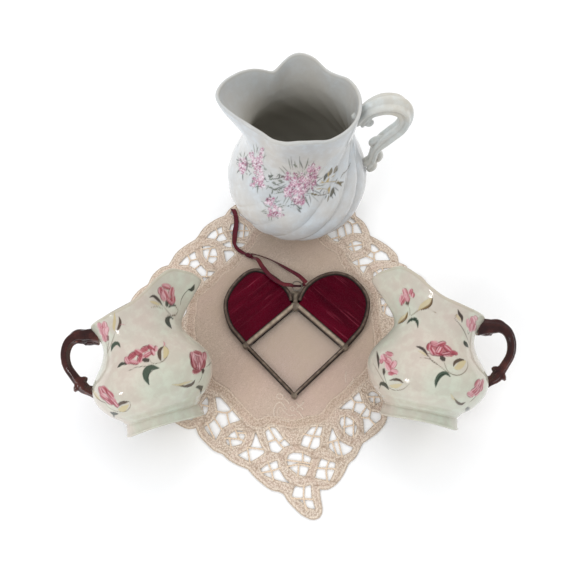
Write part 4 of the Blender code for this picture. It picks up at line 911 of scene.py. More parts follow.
def flat_mesh(loops, keep, step, clear, seed):
    """Fine triangles over an area bounded by loops, with interior points on a
    slightly uneven hexagonal grid."""
    allp = np.vstack([np.asarray(l)[:, :2] for l in loops])
    x0, y0 = allp.min(0)
    x1, y1 = allp.max(0)
    ys = np.arange(y0, y1, step * 0.866)
    xs = np.arange(x0, x1, step)
    g = np.array([(x + (step / 2 if j % 2 else 0), y) for j, y in enumerate(ys) for x in xs])
    g += 0.16 * step * np.stack([wobble(g[:, 0] * 3.1, g[:, 1] * 2.7, 0, seed),
                                 wobble(g[:, 0] * 2.3, g[:, 1] * 3.7, 0, seed + 5)], -1)
    g = g[keep(g)]
    g = g[loop_distance(g, loops) > clear]
    verts, edges = [], []
    for lp in loops:
        b = len(verts)
        verts += [Vector((float(p[0]), float(p[1]))) for p in lp]
        edges += [(b + i, b + (i + 1) % len(lp)) for i in range(len(lp))]
    verts += [Vector((float(p[0]), float(p[1]))) for p in g]
    v, _, f, _, _, _ = delaunay_2d_cdt(verts, edges, [], 0, 1e-3)
    co = np.array([(p.x, p.y) for p in v])
    tri = np.array([tuple(t) for t in f if len(t) == 3])
    a, b, c = co[tri[:, 0]], co[tri[:, 1]], co[tri[:, 2]]
    ar = (b[:, 0] - a[:, 0]) * (c[:, 1] - a[:, 1]) - (b[:, 1] - a[:, 1]) * (c[:, 0] - a[:, 0])
    tri[ar < 0] = tri[ar < 0][:, ::-1]
    ok = np.abs(ar) > 1e-6
    mid = (a + b + c) / 3
    return co, tri, ok & keep(mid)


def heal_faces(tri, kept):
    """Fill round any point where two areas would meet only at a corner."""
    for _ in range(8):
        t = tri[kept]
        e = np.sort(np.vstack([t[:, [0, 1]], t[:, [1, 2]], t[:, [2, 0]]]), axis=1)
        u, n = np.unique(e, axis=0, return_counts=True)
        rim = u[n == 1].ravel()
        p, k = np.unique(rim, return_counts=True)
        bad = p[k > 2]
        if not len(bad):
            break
        kept = kept | np.isin(tri, bad).any(1)
    return kept


def thick_plate(name, co, tri, kept, top, bottom, mats, attrs):
    """Closed plate: a top skin, an underside and the wall between."""
    kept = heal_faces(tri, kept)
    t = tri[kept]
    used = np.unique(t)
    re = np.full(len(co), -1)
    re[used] = np.arange(len(used))
    t = re[t]
    p = co[used]
    n = len(p)
    zt, zb = top(p), bottom(p)
    vv = np.vstack([np.column_stack([p, zt]), np.column_stack([p, zb])]) * MM
    e = np.vstack([t[:, [0, 1]], t[:, [1, 2]], t[:, [2, 0]]])
    key = e[:, 0] * n + e[:, 1]
    rev = e[:, 1] * n + e[:, 0]
    rim = e[~np.isin(key, rev)]
    wall = np.stack([rim[:, 1], rim[:, 0], rim[:, 0] + n, rim[:, 1] + n], -1)
    ob = make_mesh(name, vv, [t, t[:, ::-1] + n, wall], mats)
    for k, f in attrs.items():
        a = f(p)
        put_attr(ob, k, np.concatenate([a, a]))
    return ob


def thin_out(path, step):
    return even(path, step, True)


def doily():
    edge = []
    for sc in EDGE:
        edge += [tuple(p) for p in spline([P(*q) for q in sc], n=5)[:-1]]
    edge = even(np.array(edge), 0.9, True)
    hem = even(spline([P(*q) for q in HEM], closed=True, n=6), 0.8, True)
    items = list(FRONT_MOTIF.values()) + list(LACE.values())
    front = Vector(P(10.0, -150.0))
    for _, tip, skip in CORNERS:
        t = Vector(P(*tip))
        turn = math.atan2(t.y, t.x) - math.atan2(front.y, front.x)
        k = t.length / front.length
        c, s = math.cos(turn) * k, math.sin(turn) * k

        def place(q):
            x, y = P(*q)
            return (x * c - y * s + PLAN_ORIGIN[0], x * s + y * c + PLAN_ORIGIN[1])
        for key, (loop, lines) in FRONT_MOTIF.items():
            if key not in skip:
                items.append(([place(q) for q in loop], [[place(q) for q in ln] for ln in lines]))
    holes, lines = [], []
    for loop, lns in items:
        pl = [P(*q) for q in loop]
        # the openings have slightly rounded corners
        holes.append(even(rounded(pl, 0.9), 0.75, True))
        lines += [([P(*q) for q in ln], len(loop)) for ln in lns]
    outer_hem = offset_loop(hem, 2.6)

    def keep(p):
        k = in_poly(p, edge) & ~in_poly(p, outer_hem)
        for h in holes:
            k &= ~in_poly(p, h)
        return k

    step = 1.15
    co, tri, kept = flat_mesh([edge, outer_hem] + holes, keep, step, 0.5, 3.0)
    rims = [edge] + holes
    cache = {}

    def dist(p):
        if len(p) not in cache:
            cache[len(p)] = loop_distance(p, rims)
        return np.minimum(cache[len(p)], 6.0)

    def top(p):
        d = dist(p)
        z = 0.36 + 0.34 * smooth01(d / 0.75)
        z += 0.13 * np.exp(-((d - 1.0) / 0.55) ** 2)          # raised edge threads
        z += 0.035 * wobble(p[:, 0] * 2.9, p[:, 1] * 2.9, 0, 2.0)
        z += 0.05 * crease_shade(p)
        return z + cloth_z(p[:, 0], p[:, 1])

    def bottom(p):
        d = dist(p)
        return 0.10 * (1 - smooth01(d / 0.75)) + 0.02

    # the lighter band at the raised edge is a painted highlight; the darker bands along seams and inside the edge are
    # painted shade
    tape = thick_plate("lace_tape", co, tri, kept, top, bottom, [TAPE],
                       {"rim": lambda p: np.exp(-((dist(p) - 0.75) / 0.6) ** 2),
                        "crease_shade": lambda p: np.clip(crease_shade(p) + 0.5 * np.exp(-((dist(p) - 1.85) / 0.42) ** 2), 0, 1)})
    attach(tape, "doily")
    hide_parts("lace_border")

    # needle-lace bars: two-ply threads, a little slack
    bag = Bag()
    rnd = Rand(7)
    for ln, _ in lines:
        p = even(spline(ln, n=4), 0.42)
        d0 = (p[0] - p[1]) / max(np.linalg.norm(p[0] - p[1]), 1e-6)
        d1 = (p[-1] - p[-2]) / max(np.linalg.norm(p[-1] - p[-2]), 1e-6)
        p = np.vstack([p[0] + d0 * 0.7, p, p[-1] + d1 * 0.7])
        s = np.linspace(0, 1, len(p))
        z = 0.42 + 0.10 * np.sin(math.pi * s) * rnd(0.2, 1) + cloth_z(p[:, 0], p[:, 1])
        cord(bag, np.column_stack([p, z]), lambda t: 0.50 + 0.12 * (2 * t - 1) ** 4, 8,
             twist=rnd(2.4, 3.2), ply=0.17, flat=0.82)
    bars = bag.make("lace_bars", [THREAD])
    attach(bars, "doily")

    # corded edge round the scallops and each opening
    bag = Bag()
    z = 0.40 + cloth_z(edge[:, 0], edge[:, 1])
    cord(bag, np.column_stack([edge, z]), 0.36, 6, twist=2.2, ply=0.16, flat=0.9, closed=True)
    for h in holes:
        hh = offset_loop(h, 0.12)
        cord(bag, np.column_stack([hh, 0.45 + cloth_z(hh[:, 0], hh[:, 1])]), 0.27, 6, twist=2.6, ply=0.16,
             closed=True)
    cords = bag.make("lace_edge_cord", [EDGING])
    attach(cords, "doily")

    # hem tape: raised selvedges and two stitched lines
    n = len(hem)
    across = np.array([-3.15, -2.95, -2.55, -2.0, -1.4, -0.7, 0.0, 0.7, 1.4, 2.0, 2.55, 2.95, 3.15])
    high = np.array([0.46, 0.70, 0.76, 0.74, 0.70, 0.76, 0.74, 0.76, 0.70, 0.74, 0.76, 0.70, 0.46])
    t = tangents(hem, True)
    nrm = np.stack([-t[:, 1], t[:, 0]], -1)
    s = np.arange(n) * 0.8
    rings = []
    for i in range(n):
        st = 0.05 * math.cos(s[i] * 2 * math.pi / 1.6)
        row = [(*(hem[i] + nrm[i] * a), h + (st if abs(abs(a) - 1.4) < 0.1 else 0.0)
                + float(cloth_z(*hem[i]))) for a, h in zip(across, high)]
        row += [(*(hem[i] + nrm[i] * a), 0.03) for a in (3.05, 0.0, -3.05)]
        rings.append(row)
    bag = Bag()
    w = len(across) + 3
    uv = np.stack([np.repeat(s, w), np.tile(np.concatenate([across, [3.05, 0, -3.05]]), n)], -1)
    loft_into(bag, rings, uv, True)
    ht = bag.make("hem_tape_woven", [HEMT])
    # painted highlight on the raised selvedges, painted shade in the two stitched grooves
    a = np.tile(np.concatenate([np.exp(-((np.abs(across) - 2.55) / 0.4) ** 2) * 0.45, [0, 0, 0]]), n)
    c = np.tile(np.concatenate([np.exp(-((np.abs(across) - 1.4) / 0.25) ** 2) * 0.2, [0, 0, 0]]), n)
    put_attr(ht, "rim", a)
    put_attr(ht, "crease_shade", c)
    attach(ht, "doily")
    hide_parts("hem_tape")

    # linen
    inner = offset_loop(hem, -2.6)
    co, tri, kept = flat_mesh([inner], lambda p: in_poly(p, inner), 1.6, 0.7, 8.0)

    def ltop(p):
        d = loop_distance(p, [inner])
        fold = 0.10 * np.exp(-((d - 1.6) / 0.7) ** 2)
        return 0.62 + fold + 0.05 * wobble(p[:, 0] * 0.21, p[:, 1] * 0.17, 0, 4.0) + cloth_z(p[:, 0], p[:, 1])
    cl = thick_plate("linen_cloth", co, tri, kept, ltop, lambda p: np.full(len(p), 0.02), [LINEN], {})
    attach(cl, "doily")
    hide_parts("linen_centre")

    # worked scrolls and stitched lines on the linen
    bag = Bag()
    for line, r in STITCHED:
        p = even(spline([on_cloth(*q) for q in line], n=6), 0.5)
        zz = 0.70 + cloth_z(p[:, 0], p[:, 1])
        cord(bag, np.column_stack([p, zz]), r * 1.25, 8, twist=3.0, ply=0.2, flat=0.7)
    st = bag.make("linen_embroidery", [WORKED])
    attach(st, "doily")


def rounded(loop, r):
    """The polygon with each corner cut to a small curve."""
    out = []
    n = len(loop)
    for i in range(n):
        p = np.array(loop[i], float)
        a, b = np.array(loop[i - 1], float) - p, np.array(loop[(i + 1) % n], float) - p
        la, lb = np.linalg.norm(a), np.linalg.norm(b)
        k = min(r, 0.35 * la, 0.35 * lb)
        pa, pb = p + a / la * k, p + b / lb * k
        out += [tuple(pa), tuple(0.25 * pa + 0.5 * p + 0.25 * pb), tuple(pb)]
    return out


def crease_shade(p):
    """How near a point is to a seam where one tape crosses another (0 to 1); it lifts the seam a little and masks the
    painted shade along it.
    """
    best = np.full(len(p), 9.0)
    for line in SEAMS:
        q = np.array([P(*c) for c in line], float)
        for i in range(len(q) - 1):
            a, e = q[i], q[i + 1] - q[i]
            k = np.clip(((p - a) @ e) / (e @ e), 0, 1)
            best = np.minimum(best, np.linalg.norm(p - (a + k[:, None] * e), axis=1))
    return np.exp(-(best / 0.55) ** 2)


# Seams where tapes cross, and the worked lines on the linen (plan, mm).
SEAMS = [
    [(-3, -98), (2, -101), (7, -98)], [(-6, -114.5), (-1, -119)], [(1.8, -109.5), (7.5, -109.7)],
    [(14.3, -117), (20, -117.3)], [(16, -112.6), (14.3, -117)], [(19.5, -110), (25, -111)],
    [(10.3, -128.3), (16, -129)], [(1.6, -132.3), (4, -133.5)], [(-14, -114), (-10.5, -113.5)],
    [(-23, -119.8), (-18, -124)], [(28.9, -120), (33.5, -116)], [(-27.8, -100.7), (-20, -101.2)],
    [(-41, -99), (-36, -102.5)], [(-29.4, -94), (-26, -98), (-20, -101)], [(32.5, -107), (34.5, -101)],
    [(43.2, -98), (47, -103)], [(38, -113.8), (40, -104.6)], [(56, -83.5), (51.5, -88)],
    [(47, -75), (51, -76.5)], [(-46.5, -78.8), (-50.3, -82)], [(-52, -91), (-52.5, -98.5)],
    [(-2, -139.5), (-6, -136)], [(19, -133), (14, -134)], [(25, -131), (29.5, -131.5)],
    [(-54, 19.2), (-51.4, 13)], [(-62.5, 34.3), (-67.2, 30)], [(-44.2, 40), (-43.5, 48)],
    [(-48, 35.8), (-53, 33.3)], [(-40.5, 30.5), (-37, 32.9)], [(-38.5, 63), (-36.2, 67.8)],
    [(43.3, 33), (38.5, 41)], [(54, 32.8), (60, 29.5)], [(45.4, 20.6), (42, 27)],
    [(57, 18.9), (59.9, 9.4)], [(64, 34.4), (60, 43)], [(73.8, 22.2), (79, 20)],
    [(64, -7.2), (60, 2)], [(-75.4, -12), (-80, -4)], [(-60, 41.3), (-66, 42)],
]
STITCHED = [
    # an open flower worked near the front corner, drawn as seen from the front
    ([(274.4, 417.0), (273.9, 412.0), (275.0, 406.8), (277.4, 403.0), (280.2, 402.0), (282.8, 403.8),
      (285.0, 407.4), (287.2, 410.0)], 0.42),
    ([(277.2, 416.0), (277.6, 410.6), (279.6, 407.2), (281.8, 407.6), (283.4, 410.6), (285.6, 412.6)], 0.3),
    ([(276.6, 397.2), (278.0, 394.2), (281.0, 393.8), (283.4, 396.4), (282.2, 398.8), (279.4, 398.6),
      (276.6, 397.2)], 0.36),
    ([(284.6, 398.6), (287.4, 401.0), (289.4, 403.8)], 0.34),
    ([(296.4, 402.8), (298.6, 405.4), (301.4, 405.0), (303.6, 401.6)], 0.36),
    ([(296.0, 409.6), (298.2, 406.8), (301.6, 407.4), (303.4, 410.4)], 0.34),
    ([(296.8, 410.8), (299.6, 412.8), (301.8, 415.8), (303.6, 418.4)], 0.36),
    ([(290.0, 408.4), (292.4, 406.4), (294.6, 408.8), (292.6, 411.0), (290.0, 408.4)], 0.3),
    ([(286.2, 413.4), (290.0, 415.6), (294.4, 414.6), (297.0, 416.8)], 0.28),
    ([(279.4, 419.2), (284.0, 420.6), (289.4, 421.4)], 0.26),
    # two short repairs on the right
    ([(346.0, 382.0), (345.4, 376.4), (346.6, 371.6)], 0.26),
    ([(349.6, 386.4), (352.6, 382.2), (353.4, 377.2)], 0.22),
]


def on_cloth(x, y):
    """Where a picture point falls on the cloth, in mm."""
    o, d = view_ray(x, y)
    o = np.asarray(o, float) / MM
    d = np.asarray(d, float)
    t = (0.8 - o[2]) / d[2]
    return o[0] + d[0] * t, o[1] + d[1] * t


doily()


# ------------------------------------------------------- painted decoration
class Painter:
    """Lays brush strokes on a mesh as a colour per vertex.  Strokes are drawn
    as seen from the front view and dropped on to the surface."""

    def __init__(self, ob):
        me = ob.data
        self.ob = ob
        mw = np.array(ob.matrix_world)
        co = np.empty(len(me.vertices) * 3, np.float32)
        me.vertices.foreach_get("co", co)
        co = co.reshape(-1, 3).astype(float)
        no = np.empty(len(me.vertices) * 3, np.float32)
        me.vertices.foreach_get("normal", no)
        self.co = (co @ mw[:3, :3].T + mw[:3, 3]) / MM
        self.no = no.reshape(-1, 3).astype(float) @ mw[:3, :3].T
        self.rgba = np.zeros((len(self.co), 4))
        polys = [tuple(p.vertices) for p in me.polygons]
        self.tree = BVHTree.FromPolygons([tuple(c) for c in self.co], polys)
        self.mirror = None
        self.frame = Matrix.Identity(4)
        # vertices sorted into 5 mm cells, so that a stroke only looks near itself
        cell = np.floor(self.co / 5).astype(int)
        order = np.lexsort(cell.T)
        edge = np.nonzero(np.any(np.diff(cell[order], axis=0) != 0, axis=1))[0] + 1
        self.cells = {tuple(cell[g[0]]): g for g in np.split(order, edge)}

    def near(self, lo, hi):
        """Vertices inside a box."""
        a, b = np.floor(lo / 5).astype(int), np.floor(hi / 5).astype(int)
        got = [self.cells[i, j, k] for i in range(a[0], b[0] + 1) for j in range(a[1], b[1] + 1)
               for k in range(a[2], b[2] + 1) if (i, j, k) in self.cells]
        if not got:
            return np.zeros(0, int)
        idx = np.sort(np.concatenate(got))
        q = self.co[idx]
        return idx[((q > lo) & (q < hi)).all(1)]

    def hit(self, x, y):
        o, d = view_ray(x, y)
        o = o / MM
        if self.mirror is not None:
            inv = self.frame.inverted()
            o = self.frame @ (Matrix.Scale(-1, 4, self.mirror) @ (inv @ o))
            r = self.frame.to_3x3()
            s = Matrix.Scale(-1, 3, self.mirror)
            d = r @ (s @ (r.inverted() @ d))
        p, n, _, _ = self.tree.ray_cast(o, d)
        if p is None:
            return None, None
        return np.array(p), np.array(n)

    def over(self, idx, cov, colour):
        a = np.clip(cov, 0, 1)
        old = self.rgba[idx]
        ao = old[:, 3]
        out = a + ao * (1 - a)
        safe = np.maximum(out, 1e-6)
        rgb = (np.asarray(colour)[None, :3] * a[:, None] + old[:, :3] * (ao * (1 - a))[:, None]) / safe[:, None]
        self.rgba[idx] = np.column_stack([rgb, out])

    def fill(self, pts, colour, alpha=1.0, soft=0.2, streak=0.1, seed=0.0):
        """A filled shape from its outline in picture points."""
        m = np.mean(np.asarray(pts, float), axis=0)
        c, n = self.hit(*m)
        if c is None:
            return
        hits = [self.hit(*p)[0] for p in pts]
        hits = [h for h in hits if h is not None and np.linalg.norm(h - c) < 22]
        if len(hits) < 3:
            return
        x = np.cross(n, (0.31, 0.52, 0.8))
        x /= np.linalg.norm(x)
        y = np.cross(n, x)
        poly = np.array([((h - c) @ x, (h - c) @ y) for h in hits])
        rad = np.linalg.norm(poly, axis=1).max() + 1.0
        idx = self.near(c - rad, c + rad)
        idx = idx[self.no[idx] @ n > 0.25]
        if not len(idx):
            return
        d = self.co[idx] - c
        q = np.stack([d @ x, d @ y], -1)
        ins = in_poly(q, poly)
        dist = loop_distance(q, [poly])
        sd = np.where(ins, dist, -dist)
        cov = smooth01((sd + soft) / (2 * soft))
        if streak:
            u = q @ (poly[0] / (np.linalg.norm(poly[0]) + 1e-6))
            w = q[:, 0] * 1.3 + q[:, 1] * 0.9
            tone = 0.5 + 0.5 * wobble(u * 2.2, w * 2.9, 0, seed)
            cov = cov * (1 - streak * tone)
        self.over(idx, cov * alpha, colour)

    def line(self, pts, width, colour, alpha=1.0, taper=True):
        """A brush line along picture points, width in mm at its middle."""
        path = even(spline(pts, n=5), 0.9)
        hits = []
        for p in path:
            h, n = self.hit(*p)
            if h is not None and (not hits or np.linalg.norm(h - hits[-1]) < 5):
                hits.append(h)
        if len(hits) < 2:
            return
        h = np.array(hits)
        lo, hi = h.min(0) - 1.5, h.max(0) + 1.5
        idx = self.near(lo, hi)
        if not len(idx):
            return
        q = self.co[idx]
        best = np.full(len(q), 9.0)
        for i in range(len(h) - 1):
            a, e = h[i], h[i + 1] - h[i]
            k = np.clip(((q - a) @ e) / max(e @ e, 1e-9), 0, 1)
            t = (i + k) / (len(h) - 1)
            w = width / 2 * (np.sqrt(np.clip(4 * t * (1 - t), 0.08, 1)) if taper else 1.0)
            best = np.minimum(best, np.linalg.norm(q - (a + k[:, None] * e), axis=1) - w)
        cov = smooth01((0.2 - best) / 0.4)
        self.over(idx, cov * alpha, colour)

    def petal(self, x, y, rx, ry, deg, colour, alpha=0.9, soft=0.22, seed=0.0, streak=0.25):
        a = math.radians(deg)
        pts = []
        for i in range(10):
            u = TAU * i / 10
            px, py = rx * math.cos(u), ry * math.sin(u) * (1 + 0.18 * math.cos(u))
            pts.append((x + px * math.cos(a) - py * math.sin(a), y + px * math.sin(a) + py * math.cos(a)))
        self.fill(pts, colour, alpha, soft, streak, seed)

    def leaf(self, pts, fat, colour, alpha=0.95):
        """A leaf along a curved spine, fat in picture points at its middle."""
        sp = spline(pts, n=4)
        t = tangents(sp)
        n = np.stack([-t[:, 1], t[:, 0]], -1)
        s = np.linspace(0, 1, len(sp))
        w = fat / 2 * np.sin(math.pi * np.clip(s, 0.02, 0.98)) ** 0.8
        out = np.vstack([sp + n * w[:, None], (sp - n * w[:, None])[::-1]])
        self.fill([tuple(p) for p in out], colour, alpha, 0.18, 0.08)

    def done(self):
        put_attr(self.ob, "paint", self.rgba)


PINK = lin(184, 118, 128)
PALE = lin(208, 170, 172)
ROSE = lin(158, 76, 86)
DEEP = lin(134, 48, 58)
CRIM = lin(96, 28, 38)
BROWNL = lin(60, 38, 23)
DARKB = lin(35, 22, 18)
OLIVE = lin(112, 88, 50)
YELL = lin(186, 170, 126)
GREEN = lin(34, 57, 42)
DGREEN = lin(26, 37, 27)
LINEB = lin(86, 66, 46)


def rose_strokes(pt, at, petals, deep, seed):
    """A rose made of overlapping one-stroke petals."""
    out = []
    r = Rand(seed)
    for (x, y, rx, ry, deg) in petals:
        out.append(("petal", (x, y), (rx, ry), deg, PALE if deep < 1 else PINK, 0.75))
    for (x, y, rx, ry, deg) in petals:
        c = (PINK, ROSE, DEEP)[deep]
        out.append(("petal", (x + r(-4, 4), y + r(-4, 4)), (rx * 0.86, ry * 0.74), deg, c, 0.82))
    for (x, y, rx, ry, deg) in petals:
        a = math.radians(deg)                      # the brush's darker edge
        rim = []
        for i in range(6):
            u = math.pi * (i / 5) + (0.2 if deep else 3.3) + 0.35 * math.sin(x)
            px, py = rx * 0.95 * math.cos(u), ry * 0.95 * math.sin(u)
            rim.append((x + px * math.cos(a) - py * math.sin(a), y + px * math.sin(a) + py * math.cos(a)))
        out.append(("line", rim, 0.5, (DEEP, CRIM, CRIM)[deep], 0.8))
    for (x, y, rx, ry, deg) in petals:
        a = math.radians(deg)
        for k in (-0.55, 0.0, 0.55):
            sx, sy = -math.sin(a) * ry * k, math.cos(a) * ry * k
            dx, dy = math.cos(a) * rx * 0.8, math.sin(a) * rx * 0.8
            c = (ROSE, DEEP, CRIM)[deep] if r() > 0.45 else PALE
            out.append(("line", [(x + sx - dx, y + sy - dy), (x + sx + r(-3, 3), y + sy + r(-3, 3)),
                                 (x + sx + dx, y + sy + dy)], r(0.5, 0.9), c, r(0.45, 0.85)))
    return out


def lay(painter, to, strokes):
    """Send strokes in their own drawing units to the painter."""
    (ox, oy), k = to
    f = lambda p: (ox + p[0] / k, oy + p[1] / k)
    for s in strokes:
        if s[0] == "petal":
            _, c, (rx, ry), deg, col, al = s
            painter.petal(*f(c), rx / k, ry / k, deg, col, al, seed=c[0] * 0.1)
        elif s[0] == "line":
            painter.line([f(p) for p in s[1]], s[2], s[3], s[4] if len(s) > 4 else 0.9)
        elif s[0] == "leaf":
            painter.leaf([f(p) for p in s[1]], s[2] / k, s[3], s[4] if len(s) > 4 else 0.95)
        elif s[0] == "fill":
            painter.fill([f(p) for p in s[1]], s[2], s[3] if len(s) > 3 else 0.95)


# -------------------------------------------------------------------- vessels
def grid_vessel(name, rows, us, point, mats):
    """rows: list of (s, r, inner); us: angles round the vessel.  The first and
    last rows are closed by a fan."""
    n = len(us)
    rings = np.array([np.stack(point(np.full(n, s), np.full(n, r), us, inner), -1) for s, r, inner in rows])
    m = len(rows)
    co = rings.reshape(-1, 3)
    q = ring_quads(m, n)
    co = np.vstack([co, rings[0].mean(0), rings[-1].mean(0)])
    k = np.arange(n)
    k2 = (k + 1) % n
    t0 = np.stack([np.full(n, m * n), k2, k], -1)
    t1 = np.stack([np.full(n, m * n + 1), (m - 1) * n + k, (m - 1) * n + k2], -1)
    vol = signed_volume(co, q, np.vstack([t0, t1]))
    if vol < 0:
        q, t0, t1 = q[:, ::-1], t0[:, ::-1], t1[:, ::-1]
    return make_mesh(name, co * MM, [q, np.vstack([t0, t1])], mats)


def signed_volume(co, q, t):
    tri = np.vstack([q[:, [0, 1, 2]], q[:, [0, 2, 3]], t])
    a, b, c = co[tri[:, 0]], co[tri[:, 1]], co[tri[:, 2]]
    return float((a * np.cross(b, c)).sum() / 6)


def angles(dense_from, dense_to, n_dense, n_rest):
    """Angles once round, closer together between the two given ones."""
    a = np.linspace(dense_from, dense_to, n_dense, endpoint=False)
    b = np.linspace(dense_to, dense_from + TAU, n_rest, endpoint=False)
    return np.concatenate([a, b])


def rows_between(s0, s1, n):
    return np.linspace(s0, s1, n, endpoint=False)


def fuse(ob, voxel, smooth, name=None):
    """Melt overlapping lumps of a mesh into one soft skin."""
    r = ob.modifiers.new("fuse", "REMESH")
    r.mode = "VOXEL"
    r.voxel_size = voxel * MM
    s = ob.modifiers.new("soften", "SMOOTH")
    s.factor = 0.5
    s.iterations = smooth
    dg = bpy.context.evaluated_depsgraph_get()
    me = bpy.data.meshes.new_from_object(ob.evaluated_get(dg))
    old = ob.data
    mats = list(old.materials)
    ob.modifiers.clear()
    ob.data = me
    bpy.data.meshes.remove(old)
    me.materials.clear()
    for m in mats:
        me.materials.append(m)
    me.polygons.foreach_set("use_smooth", np.full(len(me.polygons), True))
    me.polygons.foreach_set("material_index", np.zeros(len(me.polygons), np.int32))
    me.update()
    return ob


def rod(bag, pts, radii, sides=20, groove=0.0, lobes=5, up=(0, 1, 0), flat=1.0, n=8, turn=0.0):
    """Modelled rod along a smooth path in the local xz plane."""
    p = spline([(x, 0.0 if len(q) == 2 else q[1], q[-1]) for q in pts for x in (q[0],)], n=n)
    t = tangents(p)
    up = np.asarray(up, float)
    a = np.cross(t, up)
    a /= np.linalg.norm(a, axis=1, keepdims=True)
    b = np.cross(a, t)
    f = curve_of(radii)
    s = np.linspace(0, 1, len(p))
    r = f(s)
    th = TAU * np.arange(sides) / sides
    rr = r[:, None] * (1 + groove * np.cos(lobes * th[None, :] + turn * s[:, None]))
    rings = (p[:, None, :] + a[:, None, :] * (rr * np.cos(th))[..., None]
             + b[:, None, :] * (rr * flat * np.sin(th))[..., None])
    loft_into(bag, rings)


def interior_shade_mask(rows, n, zt, depth):
    """Painted shade inside a vessel: 1 down inside, fading to 0 towards its lip and outside."""
    v = [float(inner) * (0.35 + 0.65 * float(smooth01((zt - s) / depth))) for s, r, inner in rows]
    return np.concatenate([np.repeat(v, n), [0, 1]])


LIPZ = curve_of(JUG_LIP_Z)
LIPR = curve_of(JUG_LIP_R)
JUGR = curve_of(JUG_PROFILE)


